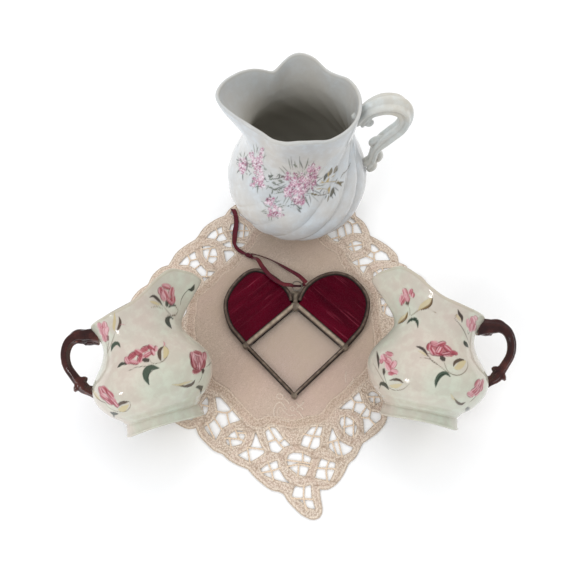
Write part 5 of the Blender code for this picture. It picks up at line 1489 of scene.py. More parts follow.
def jug():
    zt = JUG_PROFILE[-1][0]

    def point(s, r, u, inner):
        deg = np.abs((np.degrees(u) + 180) % 360 - 180)
        w = smooth01((s - 72) / (zt - 72))
        z = s + LIPZ(deg) * w
        r = r + LIPR(deg) * w ** 1.35
        dip = np.where(np.sin(u) < 0, (np.exp(-((deg - 58) / 15.0) ** 2)
                                       + 0.9 * np.exp(-((deg - 132) / 20.0) ** 2)) * w, 0.0)
        z = z - 2.6 * dip
        r = r - 2.2 * dip
        r = r + 1.6 * np.cos(u) * np.sin(math.pi * np.minimum(1, s / 80.0))
        ph = FLUTES * (u - s * 0.022)
        ridge = np.abs(np.cos(ph / 2)) ** 0.75 * 2 - 1.15
        span = np.sin(math.pi * np.clip((s - 3) / 88.0, 0, 1)) ** 0.8
        ud = (np.degrees(u) + 180) % 360 - 180
        # a smoother painted panel at the front and left
        panel = smooth01((ud + 62) / 30) * smooth01((112 - ud) / 26) * smooth01((s - 16) / 20)
        amp = 1.3 * (1 - 0.80 * panel) * span
        if inner:
            amp = amp * 0.25
        r = r + amp * ridge
        return -r * np.cos(u), -r * np.sin(u), z

    rows = [(1.6, 6.0, 0), (1.4, 17.0, 0), (1.0, 22.0, 0), (0.2, 24.6, 0), (0.0, 26.2, 0), (0.25, 27.3, 0)]
    for s in np.concatenate([rows_between(0.8, 14, 14), rows_between(14, 96, 138), rows_between(96, 107.2, 16)]):
        rows.append((s, float(JUGR(s)), 0))
    w = 1.15
    for k in range(9):
        a = math.pi * k / 8
        rows.append((zt - 0.6 + w * math.sin(a), 36.8 - w + w * math.cos(a), 0 if k < 5 else 1))
    for s in np.concatenate([rows_between(106.5, 80, 14), rows_between(80, 14, 26)]):
        rows.append((s, float(JUGR(s)) - 2.5 - 0.4 * smooth01((100 - s) / 60), 1))
    rows += [(10.5, 29.0, 1), (8.0, 25.5, 1), (6.6, 20.0, 1), (6.1, 12.0, 1), (6.0, 5.0, 1)]
    us = angles(math.radians(4), math.radians(176), 292, 120)
    ob = grid_vessel("jug_vessel", rows, us, point, [JUG_GLAZE])
    n = len(us)
    wear_and_shade = np.zeros((len(rows), n))
    for i, (s, r, inner) in enumerate(rows):
        if s > zt - 1.4:
            wear_and_shade[i] = 0.75
        if i < 6:
            wear_and_shade[i] = 1.0
    put_attr(ob, "wear_and_shade", np.concatenate([wear_and_shade.ravel(), [1, 0]]))
    put_attr(ob, "inner", interior_shade_mask(rows, n, zt, 42.0))
    ax = Vector((*P(*JUG_AXIS), REST_Z)) * MM
    ob.matrix_world = Matrix.Translation(ax)
    bpy.context.view_layer.update()

    p = Painter(ob)
    p.frame = Matrix.Translation(ax / MM)
    jug_blossom(p, 1)
    p.mirror = Vector((0, 1, 0))
    jug_blossom(p, 2)
    p.done()
    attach(ob, "jug")
    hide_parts("jug_body")

    # scroll handle
    bag = Bag()
    rod(bag, [(35.6, 91.0), (38.6, 95.6), (43.2, 100.6), (49.8, 103.8), (57.4, 103.4), (62.6, 99.6),
              (65.0, 92.6), (63.6, 85.2), (58.2, 77.8), (53.0, 70.8), (50.2, 64.2), (49.6, 58.0),
              (48.6, 52.6), (46.0, 49.0)],
        [(0, 4.6), (0.1, 4.2), (0.22, 4.9), (0.34, 5.0), (0.44, 4.3), (0.56, 3.9), (0.66, 3.9), (0.76, 3.2),
         (0.88, 3.0), (1, 3.4)], sides=40, groove=0.17, lobes=5, n=8, flat=1.32)
    # shoulders, curls and the two spurs of the scroll
    rod(bag, [(55.5, 105.2), (59.5, 105.0), (63.4, 102.0), (65.6, 98.0)],
        [(0, 0.6), (0.4, 2.1), (0.75, 1.9), (1, 0.5)], sides=16)
    rod(bag, [(66.2, 96.0), (68.0, 91.0), (67.2, 86.0), (64.4, 81.6)],
        [(0, 0.5), (0.4, 1.7), (0.7, 1.6), (1, 0.5)], sides=16)
    rod(bag, [(47.2, 99.4), (44.4, 96.0), (42.0, 91.6), (41.6, 88.2), (43.4, 86.8), (44.8, 88.6), (43.4, 89.9)],
        [(0, 1.6), (0.4, 2.2), (0.7, 1.6), (1, 1.1)], sides=16)
    rod(bag, [(37.0, 92.0), (38.6, 88.6), (39.4, 84.6)], [(0, 3.2), (0.6, 2.3), (1, 1.2)], sides=16)
    rod(bag, [(57.0, 77.4), (52.6, 74.6), (48.6, 72.4), (46.6, 70.0), (47.6, 67.8), (49.6, 68.6)],
        [(0, 1.5), (0.4, 2.2), (0.75, 1.6), (1, 1.1)], sides=16)
    rod(bag, [(51.4, 64.0), (53.6, 60.2), (54.4, 56.2), (53.2, 52.6), (51.4, 53.4)],
        [(0, 1.3), (0.4, 1.8), (0.75, 1.5), (1, 1.1)], sides=16)
    rod(bag, [(49.6, 56.0), (50.8, 50.2), (51.0, 45.4), (48.8, 42.6), (47.0, 44.2)],
        [(0, 1.9), (0.4, 2.3), (0.75, 1.7), (1, 1.1)], sides=16)
    hd = bag.make("jug_scroll_handle", [HANDLE_GLAZE])
    fuse(hd, 0.42, 3)
    hd.matrix_world = Matrix.Translation(ax)
    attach(hd, "jug")
    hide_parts("jug_handle")


MAUVES = [lin(190, 144, 164), lin(172, 114, 140), lin(148, 88, 114), lin(212, 184, 196), lin(182, 128, 150), lin(226, 208, 216)]
DUSK = lin(104, 54, 80)
SAGE = lin(112, 120, 106)
SLATE = lin(78, 82, 78)
UMBER = lin(96, 84, 52)
OCHRE = lin(172, 148, 92)


def jug_blossom(p, seed):
    """Sprays of tiny blossom.  Positions are in units of 1/9.5 picture point
    from the point (205, 140)."""
    r = Rand(seed)
    K = 9.503
    f = lambda x, y: (205 + x / K, 140 + y / K)

    def twig(pts, w, col, al=0.85):
        p.line([f(*q) for q in pts], w, col, al)

    def florets(cx, cy, w, h, n, dark=0.3, tilt=0.0):
        for _ in range(int(n * 1.8)):            # thin stalks and buds round the edge of the spray
            a = r(0, TAU)
            x0, y0 = cx + 0.3 * w * math.cos(a), cy + 0.3 * h * math.sin(a)
            x1, y1 = cx + r(0.56, 0.78) * w * math.cos(a), cy + r(0.56, 0.78) * h * math.sin(a)
            twig([(x0, y0), ((x0 + x1) / 2 + r(-6, 6), (y0 + y1) / 2), (x1, y1)], 0.42,
                 (SAGE, SLATE, DUSK)[int(r(0, 2.99))], 0.7)
        w, h = w * 1.16, h * 1.16
        for _ in range(int(n * 2.5)):
            a, q = r(0, TAU), math.sqrt(r())
            x, y = w / 2 * q * math.cos(a), h / 2 * q * math.sin(a)
            x, y = x * math.cos(tilt) - y * math.sin(tilt), x * math.sin(tilt) + y * math.cos(tilt)
            x, y = cx + x, cy + y
            k0 = r(0, TAU)
            col = MAUVES[int(r(0, 5.999))]
            size = r(6, 11.5)
            for k in range(5):
                t = k0 + TAU * k / 5
                px, py = f(x + size * math.cos(t), y + size * math.sin(t))
                p.petal(px, py, size * 0.95 / K, size * 0.6 / K, math.degrees(t), col, r(0.6, 0.95), 0.2, k0, 0.2)
            if r() < 0.5:
                px, py = f(x + size * math.cos(k0), y + size * math.sin(k0))
                qx, qy = f(x + size * 1.5 * math.cos(k0 + 1.4), y + size * 1.5 * math.sin(k0 + 1.4))
                p.line([(px, py), ((px + qx) / 2 + 0.3, (py + qy) / 2), (qx, qy)], 0.3, DUSK, 0.8)
            if r() < dark:
                px, py = f(x, y)
                p.petal(px, py, 5.5 / K, 4.5 / K, 0, DUSK, 0.85, 0.2, 0, 0)
            elif r() < 0.75:
                px, py = f(x, y)
                p.petal(px, py, 6.0 / K, 5.0 / K, 0, lin(236, 226, 228), 0.9, 0.2, 0, 0)
        for _ in range(int(n * 1.6)):            # light gaps between the blossoms
            a, q = r(0, TAU), math.sqrt(r())
            px, py = f(cx + w / 2 * q * math.cos(a), cy + h / 2 * q * math.sin(a))
            p.petal(px, py, r(4, 8) / K, r(3, 5) / K, r(0, 180), lin(214, 214, 218), 0.8, 0.2, 0, 0)

    def blade(pts, fat, col, al=0.85):
        p.leaf([f(*q) for q in pts], fat / K, col, al)

    def sprigs(cx, cy, w, h, n, shades=(SAGE, SLATE)):
        """Small grey leaves fanned out from the middle of a spray."""
        for i in range(n):
            a = TAU * (i + r(0.1, 0.9)) / n
            q0, q1 = r(0.36, 0.46), r(0.62, 0.8)
            b = a + r(-0.3, 0.3)
            x0, y0 = cx + q0 * w * math.cos(a), cy + q0 * h * math.sin(a)
            x1, y1 = cx + q1 * w * math.cos(b), cy + q1 * h * math.sin(b)
            blade([(x0, y0), ((x0 + x1) / 2 + r(-5, 5), (y0 + y1) / 2 + r(-5, 5)), (x1, y1)], r(7, 13),
                  shades[int(r(0, len(shades) - 0.01))], r(0.6, 0.9))

    # leaf sprays first, blossom over them
    for y0, y1, x0, x1 in ((350, 336, 596, 650), (372, 348, 600, 760), (400, 430, 628, 722), (448, 470, 598, 700),
                           (470, 440, 640, 720), (380, 402, 690, 752)):
        twig([(x0, y0), ((x0 + x1) / 2, (y0 + y1) / 2 + 8), (x1, y1)], 0.7, SLATE, 0.8)
        blade([(x0 + 6, y0), (x0 + 26, y0 + 4), (x0 + 48, (y0 + y1) / 2)], 16, SAGE, 0.8)
    blade([(835, 230), (860, 244), (880, 262)], 20, SAGE)
    blade([(600, 336), (625, 342), (648, 332)], 20, SLATE)
    blade([(720, 350), (742, 346), (760, 356)], 18, DUSK)
    twig([(1085, 412), (1130, 404), (1180, 398), (1240, 392)], 0.6, OCHRE)
    twig([(1010, 515), (1070, 524), (1130, 520), (1190, 500)], 0.7, UMBER)
    twig([(1050, 470), (1110, 462), (1170, 470)], 0.5, OCHRE)
    for pts, fat, c in (([(1255, 240), (1244, 280), (1222, 318)], 34, UMBER),
                        ([(1206, 262), (1196, 300), (1174, 345)], 30, UMBER),
                        ([(1160, 312), (1146, 346), (1126, 392)], 26, SLATE),
                        ([(1182, 360), (1166, 386), (1150, 396)], 20, OCHRE),
                        ([(1240, 410), (1280, 408), (1320, 396)], 26, UMBER),
                        ([(1256, 396), (1282, 420), (1300, 440)], 22, UMBER),
                        ([(1222, 446), (1212, 490), (1186, 546)], 34, lin(70, 66, 48)),
                        ([(1192, 440), (1178, 470), (1180, 506)], 22, OCHRE),
                        ([(1004, 500), (1036, 516), (1070, 516)], 18, UMBER)):
        blade(pts, fat, c, 0.88)
    twig([(1286, 366), (1310, 322), (1346, 290), (1384, 214)], 0.7, UMBER)
    twig([(790, 622), (850, 612), (884, 636), (912, 692)], 0.6, SLATE)
    twig([(690, 640), (760, 622), (820, 640)], 0.5, SAGE)
    blade([(884, 628), (900, 648), (926, 660)], 16, SLATE)
    blade([(876, 650), (892, 672), (912, 690)], 14, SLATE)
    sprigs(900, 405, 330, 330, 30)
    sprigs(885, 500, 190, 170, 16)
    sprigs(985, 395, 150, 150, 14, (SLATE, DUSK))
    sprigs(660, 410, 130, 150, 16)
    sprigs(500, 260, 130, 320, 22)
    sprigs(362, 235, 100, 200, 16)
    sprigs(640, 640, 150, 170, 18)
    sprigs(1180, 440, 130, 200, 14, (UMBER, SLATE, OCHRE))
    # main spray
    florets(880, 505, 150, 130, 17, 0.35)
    florets(985, 400, 120, 120, 15, 0.6)
    florets(820, 352, 130, 70, 9, 0.5)
    florets(1030, 268, 100, 70, 8, 0.5)
    florets(900, 430, 160, 90, 10, 0.3)
    florets(785, 500, 70, 80, 6, 0.6)
    florets(905, 588, 100, 44, 6, 0.7)
    florets(1040, 340, 60, 50, 4, 0.6)
    florets(935, 372, 150, 120, 12, 0.4)
    florets(860, 440, 110, 90, 8, 0.5)
    # left spray
    florets(500, 205, 92, 120, 12, 0.3)
    florets(512, 296, 74, 74, 8, 0.3)
    florets(508, 372, 96, 80, 8, 0.4)
    florets(462, 430, 50, 40, 4, 0.6)
    florets(540, 430, 46, 40, 4, 0.6)
    florets(440, 132, 34, 56, 4, 0.8)
    florets(540, 112, 40, 50, 3, 0.5)
    twig([(500, 96), (520, 150), (508, 210)], 0.5, DUSK, 0.7)
    twig([(470, 452), (520, 440), (548, 462)], 0.5, SLATE)
    # far left spray
    florets(362, 232, 56, 130, 9, 0.5)
    florets(352, 286, 40, 50, 4, 0.5)
    for pts in ([(330, 168), (340, 196), (352, 220)], [(398, 196), (400, 240), (392, 300)],
                [(296, 180), (312, 192), (330, 190)], [(384, 150), (392, 176), (400, 200)]):
        blade(pts, 18, SLATE, 0.75)
    # small lower spray
    florets(624, 584, 84, 60, 8, 0.5)
    florets(662, 664, 96, 66, 9, 0.1)
    florets(676, 712, 128, 24, 8, 0.8)
    twig([(570, 580), (600, 566), (640, 572)], 0.5, SLATE)
    twig([(566, 620), (590, 632), (620, 640)], 0.5, SAGE)


PLIPZ = curve_of(PITCHER_LIP_Z)
PLIPR = curve_of(PITCHER_LIP_R)
PR = curve_of(PITCHER_PROFILE)


def pitcher(side, foot, turn, sign):
    zt = PITCHER_PROFILE[-1][0]

    def point(s, r, u, inner):
        deg = np.abs((np.degrees(u) + 180) % 360 - 180)
        w = smooth01((s - 50) / (zt - 50))
        z = s + (PLIPZ(deg) + PITCHER_LIP_SKEW * np.sin(u)) * w
        r = r + PLIPR(deg) * w ** 1.2
        z = z + 1.6 * np.cos(u) * np.exp(-((s - 46) / 14.0) ** 2)
        z = z + PITCHER_FOOT_ARCH * np.sin(u) ** 2 * np.exp(-(s / 9.0) ** 2)
        return sign * r * np.cos(u), r * np.sin(u), z

    def foot_detail(s):
        # a rolled foot and a fine line where the foot band ends
        return 0.3 * math.exp(-((s - 0.9) / 0.7) ** 2) - 0.35 * math.exp(-((s - 7.0) / 0.8) ** 2) \
            + 0.25 * math.exp(-((s - 8.6) / 0.6) ** 2)

    rows = [(2.6, 4.0, 0), (2.6, 12.0, 0), (2.3, 16.8, 0), (1.0, 19.2, 0), (0.1, 20.6, 0), (-0.1, 21.4, 0)]
    for s in np.concatenate([rows_between(0.3, 9, 26), rows_between(9, 62, 118), rows_between(62, 69.2, 26)]):
        rows.append((s, float(PR(s)) + foot_detail(s), 0))
    w = 1.1
    for k in range(9):
        a = math.pi * k / 8
        rows.append((zt - 0.5 + w * math.sin(a), 26.4 - w + w * math.cos(a), 0 if k < 5 else 1))
    for s in np.concatenate([rows_between(68.6, 50, 12), rows_between(50, 13, 20)]):
        rows.append((s, float(PR(s)) - 2.3 - 0.4 * smooth01((60 - s) / 40), 1))
    rows += [(10.2, 21.5, 1), (8.4, 18.0, 1), (7.6, 12.0, 1), (7.4, 4.0, 1)]
    us = angles(math.radians(176), math.radians(364), 300, 110)
    ob = grid_vessel(side + "_pitcher_vessel", rows, us, point, [CREAM])
    wear_and_shade = np.zeros((len(rows), len(us)))
    for i, (s, r, inner) in enumerate(rows):
        if s > zt - 1.2:
            wear_and_shade[i] = 0.7
        # painted shade in the groove above the foot band
        if abs(s - 7.0) < 0.5 and not inner:
            wear_and_shade[i] = 0.55
        if i < 6:
            wear_and_shade[i] = 1.0
    put_attr(ob, "wear_and_shade", np.concatenate([wear_and_shade.ravel(), [1, 0]]))
    put_attr(ob, "inner", interior_shade_mask(rows, len(us), zt, 2.5))
    a = math.radians(turn)
    th = math.radians(PITCHER_TILT)
    z = Vector((math.sin(a) * math.cos(th), math.cos(a) * math.cos(th), math.sin(th)))
    x = Vector((math.cos(a), -math.sin(a), 0))
    y = z.cross(x)
    m = Matrix((x, y, z)).transposed().to_4x4()
    at = Vector((*P(*foot), PITCHER_FOOT_Z))
    m.translation = at * MM
    ob.matrix_world = m
    bpy.context.view_layer.update()
    p = Painter(ob)
    f = m.copy()
    f.translation = at
    p.frame = f
    strokes, to = (RIGHT_ROSES, ((360, 265), 8.96)) if side == "right" else (LEFT_ROSES, ((57, 260), 8.476))
    lay(p, to, strokes)
    p.mirror = Vector((0, 1, 0))
    lay(p, to, strokes)
    p.done()
    body = side + "_pitcher"
    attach(ob, body)
    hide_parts(side + "_pitcher_body")

    # twig handle
    bag = Bag()
    q = lambda pts: [(-sign * c[0], c[1]) for c in pts]
    rod(bag, q([(23.2, 60.4), (27.4, 61.9), (32.2, 62.9), (37.0, 63.5), (41.6, 61.2), (44.7, 55.6), (45.2, 48.8),
                (43.2, 42.6), (41.2, 38.0), (39.0, 34.0), (36.2, 30.8), (33.4, 28.2)]),
        [(0, 4.9), (0.1, 4.6), (0.2, 4.0), (0.3, 3.3), (0.44, 2.7), (0.6, 2.5), (0.72, 2.8), (0.8, 3.3),
         (0.88, 2.6), (0.94, 2.3), (1, 2.6)], sides=30, groove=0.085, lobes=5, n=8, turn=2.4, flat=0.95)
    # cut twig stubs and the leafy collar where it joins the rim
    rod(bag, q([(26.0, 60.2), (30.0, 59.4), (33.0, 58.2)]), [(0, 3.4), (0.6, 2.6), (1, 0.9)], sides=14)
    rod(bag, q([(26.4, 63.4), (31.6, 65.6), (37.0, 66.2), (41.6, 64.2)]), [(0, 1.4), (0.5, 1.9), (1, 0.8)],
        sides=14)
    rod(bag, q([(40.8, 37.4), (43.4, 35.2), (45.0, 33.6)]), [(0, 2.6), (0.6, 1.8), (1, 0.8)], sides=14)
    rod(bag, q([(40.4, 38.4), (38.0, 39.0), (36.2, 38.4)]), [(0, 2.2), (0.6, 1.7), (1, 0.9)], sides=14)
    rod(bag, q([(45.0, 54.0), (47.0, 51.4), (47.0, 48.4)]), [(0, 0.8), (0.5, 1.2), (1, 0.6)], sides=14)
    rod(bag, q([(38.6, 33.0), (35.8, 33.2), (33.8, 32.4)]), [(0, 1.6), (0.6, 1.3), (1, 0.8)], sides=14)
    hd = bag.make(side + "_pitcher_twig_handle", [BROWN])
    fuse(hd, 0.42, 3)
    hd.matrix_world = m
    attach(hd, body)
    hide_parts(side + "_pitcher_handle")


# Brush strokes of the roses, drawn as seen from the front, in their own units.
RIGHT_ROSES = (
    # by the spout
    [("line", [(430, 360), (446, 400), (448, 450), (466, 448), (522, 412)], 0.35, LINEB, 0.8),
     ("leaf", [(340, 520), (372, 492), (408, 462), (426, 424)], 46, YELL, 0.7),
     ("leaf", [(338, 528), (384, 500), (412, 470), (428, 420)], 22, OLIVE),
     ("line", [(345, 528), (392, 506), (418, 468), (430, 424)], 0.5, BROWNL, 0.9),
     ("leaf", [(520, 410), (556, 372), (606, 330), (644, 292)], 50, YELL, 0.7),
     ("leaf", [(536, 402), (590, 384), (634, 350), (650, 288)], 26, OLIVE),
     ("line", [(544, 404), (596, 388), (640, 350), (652, 290)], 0.6, BROWNL, 0.85),
     ("line", [(470, 442), (530, 402), (600, 384), (640, 400), (682, 430)], 0.4, OLIVE, 0.8),
     ("leaf", [(420, 524), (452, 492), (492, 488), (514, 514), (518, 562)], 34, GREEN),
     ("line", [(424, 528), (460, 490), (498, 492), (520, 560)], 0.5, DGREEN, 0.9)]
    + rose_strokes(None, None, [(372, 300, 44, 22, 100), (402, 240, 36, 24, 70), (452, 238, 30, 22, 110),
                                (470, 270, 26, 20, 100), (412, 286, 44, 26, 105), (385, 322, 42, 20, 120),
                                (430, 306, 30, 18, 95)], 0, 3)
    + [("fill", [(412, 322), (440, 326), (442, 352), (424, 366), (406, 352)], BROWNL, 0.9)]
    # by the handle
    + [("line", [(846, 480), (892, 530), (930, 588), (962, 660), (984, 720)], 0.4, DARKB, 0.85),
       ("line", [(848, 458), (870, 440), (850, 480)], 0.35, LINEB, 0.7),
       ("leaf", [(876, 396), (892, 440), (912, 470), (914, 516)], 30, DARKB),
       ("leaf", [(860, 440), (880, 470), (902, 500)], 26, YELL, 0.6),
       ("leaf", [(930, 678), (946, 706), (972, 742)], 34, DGREEN),
       ("line", [(964, 580), (972, 620), (996, 560)], 0.4, DARKB, 0.8)]
    + rose_strokes(None, None, [(1010, 500, 44, 26, 70), (968, 520, 46, 18, 85), (1022, 560, 36, 20, 100),
                                (992, 560, 44, 22, 90), (1036, 476, 26, 16, 60)], 0, 5)
    # middle
    + [("fill", [(604, 742), (650, 706), (720, 700), (790, 738), (868, 796), (820, 824), (730, 816), (640, 796)],
        ROSE, 0.9),
       ("line", [(540, 830), (612, 838), (668, 868), (716, 908), (764, 944), (800, 974)], 0.35, LINEB, 0.8),
       ("line", [(606, 800), (648, 862), (706, 898)], 0.45, BROWNL, 0.8),
       ("line", [(748, 850), (768, 914), (792, 956), (842, 984), (898, 984), (944, 952), (966, 906),
                 (962, 858)], 0.45, LINEB, 0.85),
       ("leaf", [(840, 924), (880, 916), (922, 876), (950, 862)], 56, YELL, 0.8),
       ("leaf", [(836, 912), (852, 872), (896, 850), (936, 852)], 32, BROWNL),
       ("leaf", [(500, 728), (540, 740), (580, 770), (612, 824)], 28, DARKB),
       ("leaf", [(516, 764), (566, 790), (600, 818)], 22, YELL, 0.6),
       ("leaf", [(812, 1004), (768, 968), (716, 990), (684, 1044), (678, 1098)], 44, GREEN),
       ("line", [(806, 986), (750, 978), (706, 1010), (680, 1092)], 0.5, DGREEN, 0.8)]
    + rose_strokes(None, None, [(625, 735, 40, 30, 100), (668, 705, 44, 28, 20), (730, 712, 46, 28, 160),
                                (786, 748, 48, 26, 40), (842, 786, 40, 20, 20), (650, 776, 44, 24, 60),
                                (712, 760, 40, 30, 120), (770, 800, 50, 20, 170), (700, 800, 46, 18, 10)], 1, 7)
    + [("line", [(600, 790), (680, 812), (760, 806), (846, 800)], 0.7, CRIM, 0.75),
       ("fill", [(716, 818), (742, 812), (768, 834), (762, 862), (736, 862), (716, 842)], DARKB, 0.95)]
    # lower left
    + [("line", [(116, 880), (150, 936), (184, 996), (222, 1058), (264, 1102), (320, 1122), (386, 1112),
                 (440, 1066)], 0.45, LINEB, 0.85),
       ("leaf", [(150, 772), (160, 822), (166, 868), (168, 930)], 24, DARKB),
       ("line", [(206, 930), (216, 990), (240, 1066)], 0.45, DARKB, 0.8),
       ("leaf", [(262, 1080), (320, 1086), (380, 1066)], 40, YELL, 0.75),
       ("leaf", [(262, 1034), (310, 1026), (352, 1032), (390, 1058)], 26, BROWNL),
       ("leaf", [(172, 1080), (196, 1060), (230, 1078), (258, 1118)], 36, DGREEN),
       ("line", [(170, 1112), (186, 1078), (214, 1064)], 0.5, GREEN, 0.8)]
    + rose_strokes(None, None, [(210, 830, 36, 30, 60), (262, 800, 40, 24, 20), (248, 860, 46, 34, 40),
                                (300, 890, 40, 28, 120), (250, 914, 46, 26, 60), (306, 956, 40, 24, 20),
                                (276, 976, 30, 18, 10), (190, 860, 24, 18, 90)], 0, 11)
    + [("fill", [(202, 926), (222, 926), (230, 960), (214, 992), (202, 966)], DARKB, 0.9)]
    # lower right
    + [("leaf", [(812, 1150), (836, 1196), (872, 1218)], 22, YELL, 0.6),
       ("leaf", [(842, 1192), (874, 1232), (908, 1246), (944, 1230)], 26, BROWNL),
       ("line", [(984, 1228), (1016, 1200), (1048, 1166)], 0.6, BROWNL, 0.9),
       ("fill", [(942, 1290), (962, 1270), (986, 1276), (978, 1300), (956, 1320), (944, 1314)], DGREEN, 0.95)]
    + rose_strokes(None, None, [(1090, 1062, 46, 20, 110), (1052, 1060, 44, 22, 120), (1046, 1112, 40, 26, 130),
                                (1086, 1104, 34, 18, 110), (990, 1158, 34, 28, 30), (1020, 1130, 40, 24, 140),
                                (1050, 1150, 34, 18, 140)], 1, 13)
)

LEFT_ROSES = (
    # by the spout
    [("leaf", [(782, 318), (820, 306), (862, 342), (896, 388)], 26, DARKB),
     ("leaf", [(786, 350), (826, 362), (884, 384)], 26, YELL, 0.8),
     ("line", [(796, 402), (846, 394), (898, 414)], 0.5, OLIVE, 0.7),
     ("line", [(900, 390), (940, 440), (968, 470), (1004, 466), (1026, 432), (1014, 402), (988, 396)],
      0.45, LINEB, 0.85),
     ("leaf", [(944, 404), (976, 382), (1010, 392)], 34, DGREEN),
     ("leaf", [(988, 500), (950, 484), (934, 514), (950, 550), (972, 580)], 40, DGREEN),
     ("line", [(1044, 384), (1054, 336), (1078, 290), (1114, 254), (1146, 242)], 0.5, DARKB, 0.85),
     ("leaf", [(1110, 250), (1144, 250), (1166, 206)], 32, DGREEN)]
    + rose_strokes(None, None, [(884, 262, 40, 30, 80), (928, 222, 44, 26, 20), (972, 268, 44, 26, 100),
                                (920, 288, 50, 30, 60), (984, 332, 40, 24, 90), (900, 310, 46, 24, 70),
                                (958, 346, 40, 26, 40)], 1, 17)
    + [("fill", [(918, 350), (938, 346), (948, 376), (934, 404), (918, 384)], DGREEN, 0.95)]
    # by the handle
    + [("leaf", [(524, 478), (536, 524), (524, 570), (498, 612)], 26, BROWNL),
       ("leaf", [(486, 440), (488, 510), (482, 570), (490, 604)], 26, YELL, 0.85),
       ("line", [(536, 546), (560, 546), (580, 550)], 0.5, PINK, 0.7),
       ("line", [(492, 616), (464, 700), (432, 776), (412, 830)], 0.4, LINEB, 0.8),
       ("line", [(440, 690), (432, 740), (424, 790)], 0.45, DARKB, 0.85),
       ("leaf", [(538, 742), (512, 706), (476, 724), (458, 774)], 34, GREEN)]
    + rose_strokes(None, None, [(362, 560, 34, 24, 60), (400, 552, 34, 26, 80), (380, 600, 46, 26, 75),
                                (412, 612, 44, 22, 85), (402, 656, 40, 24, 80), (424, 590, 30, 16, 100)], 0, 19)
    + [("fill", [(420, 640), (440, 640), (442, 682), (426, 690)], CRIM, 0.85)]
    # middle
    + [("leaf", [(512, 912), (552, 880), (606, 882)], 28, DGREEN),
       ("line", [(600, 942), (668, 912), (730, 902), (790, 900)], 0.45, GREEN, 0.8),
       ("line", [(790, 852), (806, 874), (856, 876), (904, 852), (938, 806), (940, 756), (908, 716)],
        0.45, LINEB, 0.85),
       ("leaf", [(906, 730), (926, 780), (906, 836)], 50, YELL, 0.85),
       ("leaf", [(906, 728), (870, 768), (870, 820), (882, 856)], 34, BROWNL),
       ("leaf", [(902, 690), (912, 712), (904, 732)], 14, PINK, 0.8),
       ("leaf", [(868, 918), (800, 908), (758, 946), (754, 1000), (782, 1060)], 60, GREEN),
       ("line", [(862, 916), (806, 938), (774, 984), (780, 1056)], 0.6, DGREEN, 0.8)]
    + rose_strokes(None, None, [(600, 850, 38, 28, 60), (640, 812, 44, 28, 140), (690, 784, 42, 28, 30),
                                (744, 756, 44, 26, 150), (800, 742, 38, 22, 40), (838, 752, 26, 18, 100),
                                (650, 866, 48, 20, 10), (706, 836, 42, 26, 110), (770, 800, 44, 24, 150),
                                (812, 784, 30, 18, 60)], 1, 23)
    + [("fill", [(724, 836), (750, 828), (786, 838), (782, 862), (746, 868), (722, 856)], DARKB, 0.95)]
    # lower right
    + [("line", [(1300, 780), (1316, 830), (1296, 880), (1264, 906)], 0.5, DARKB, 0.75),
       ("line", [(1232, 950), (1226, 994), (1200, 1042)], 0.45, DARKB, 0.85),
       ("leaf", [(1172, 1014), (1146, 1050), (1096, 1070), (1026, 1064)], 26, BROWNL),
       ("leaf", [(1150, 1020), (1100, 1040), (1030, 1058), (972, 1054)], 20, YELL, 0.7),
       ("fill", [(1172, 1078), (1200, 1060), (1240, 1066), (1232, 1096), (1216, 1140), (1208, 1100)], DGREEN, 0.95)]
    + rose_strokes(None, None, [(1148, 822, 50, 24, 80), (1192, 790, 44, 26, 20), (1246, 822, 46, 26, 100),
                                (1200, 842, 56, 32, 80), (1160, 880, 50, 26, 70), (1240, 878, 46, 24, 100),
                                (1184, 940, 44, 26, 160), (1210, 902, 44, 26, 90)], 2, 29)
    + [("fill", [(1224, 926), (1240, 914), (1252, 936), (1240, 966), (1226, 956)], DARKB, 0.95)]
    # lower left
    + [("leaf", [(304, 1098), (330, 1150), (366, 1190)], 26, YELL, 0.8),
       ("line", [(302, 1096), (322, 1144), (364, 1190), (420, 1214)], 0.7, BROWNL, 0.9),
       ("line", [(400, 1204), (440, 1250), (490, 1278), (540, 1286), (590, 1278), (622, 1240), (616, 1200)],
        0.45, LINEB, 0.85),
       ("leaf", [(516, 1268), (560, 1262), (608, 1226)], 50, YELL, 0.85),
       ("leaf", [(508, 1256), (530, 1222), (566, 1208), (612, 1200)], 30, BROWNL),
       ("leaf", [(450, 1290), (484, 1302), (522, 1304)], 26, DGREEN),
       ("leaf", [(470, 1298), (482, 1322), (478, 1336)], 14, DGREEN)]
    + rose_strokes(None, None, [(372, 1106, 40, 22, 70), (408, 1100, 46, 26, 50), (450, 1140, 46, 26, 50),
                                (400, 1160, 50, 24, 40), (470, 1190, 46, 26, 50), (440, 1196, 46, 22, 40),
                                (500, 1222, 34, 18, 50)], 1, 31)
)


jug()
pitcher("right", RIGHT_FOOT, RIGHT_TURN, -1)
pitcher("left", LEFT_FOOT, LEFT_TURN, 1)


# ---------------------------------------------------------------------- heart
def sweep_mitred(path, section):
    """(sideways, up, tag) section swept along a plan path."""
    p = np.asarray(path, float)
    n = len(p)
    d = np.diff(p, axis=0)
    d /= np.linalg.norm(d, axis=1, keepdims=True)
    rings = []
    for i in range(n):
        if 0 < i < n - 1:
            t = d[i - 1] + d[i]
            t /= np.linalg.norm(t)
            k = 1 / max(0.5, float(t @ d[i]))
        else:
            t = d[min(i, n - 2)]
            k = 1.0
        nrm = np.array([-t[1], t[0]]) * k
        rings.append([(p[i][0] + nrm[0] * a, p[i][1] + nrm[1] * a, b) for a, b, _ in section])
    return rings


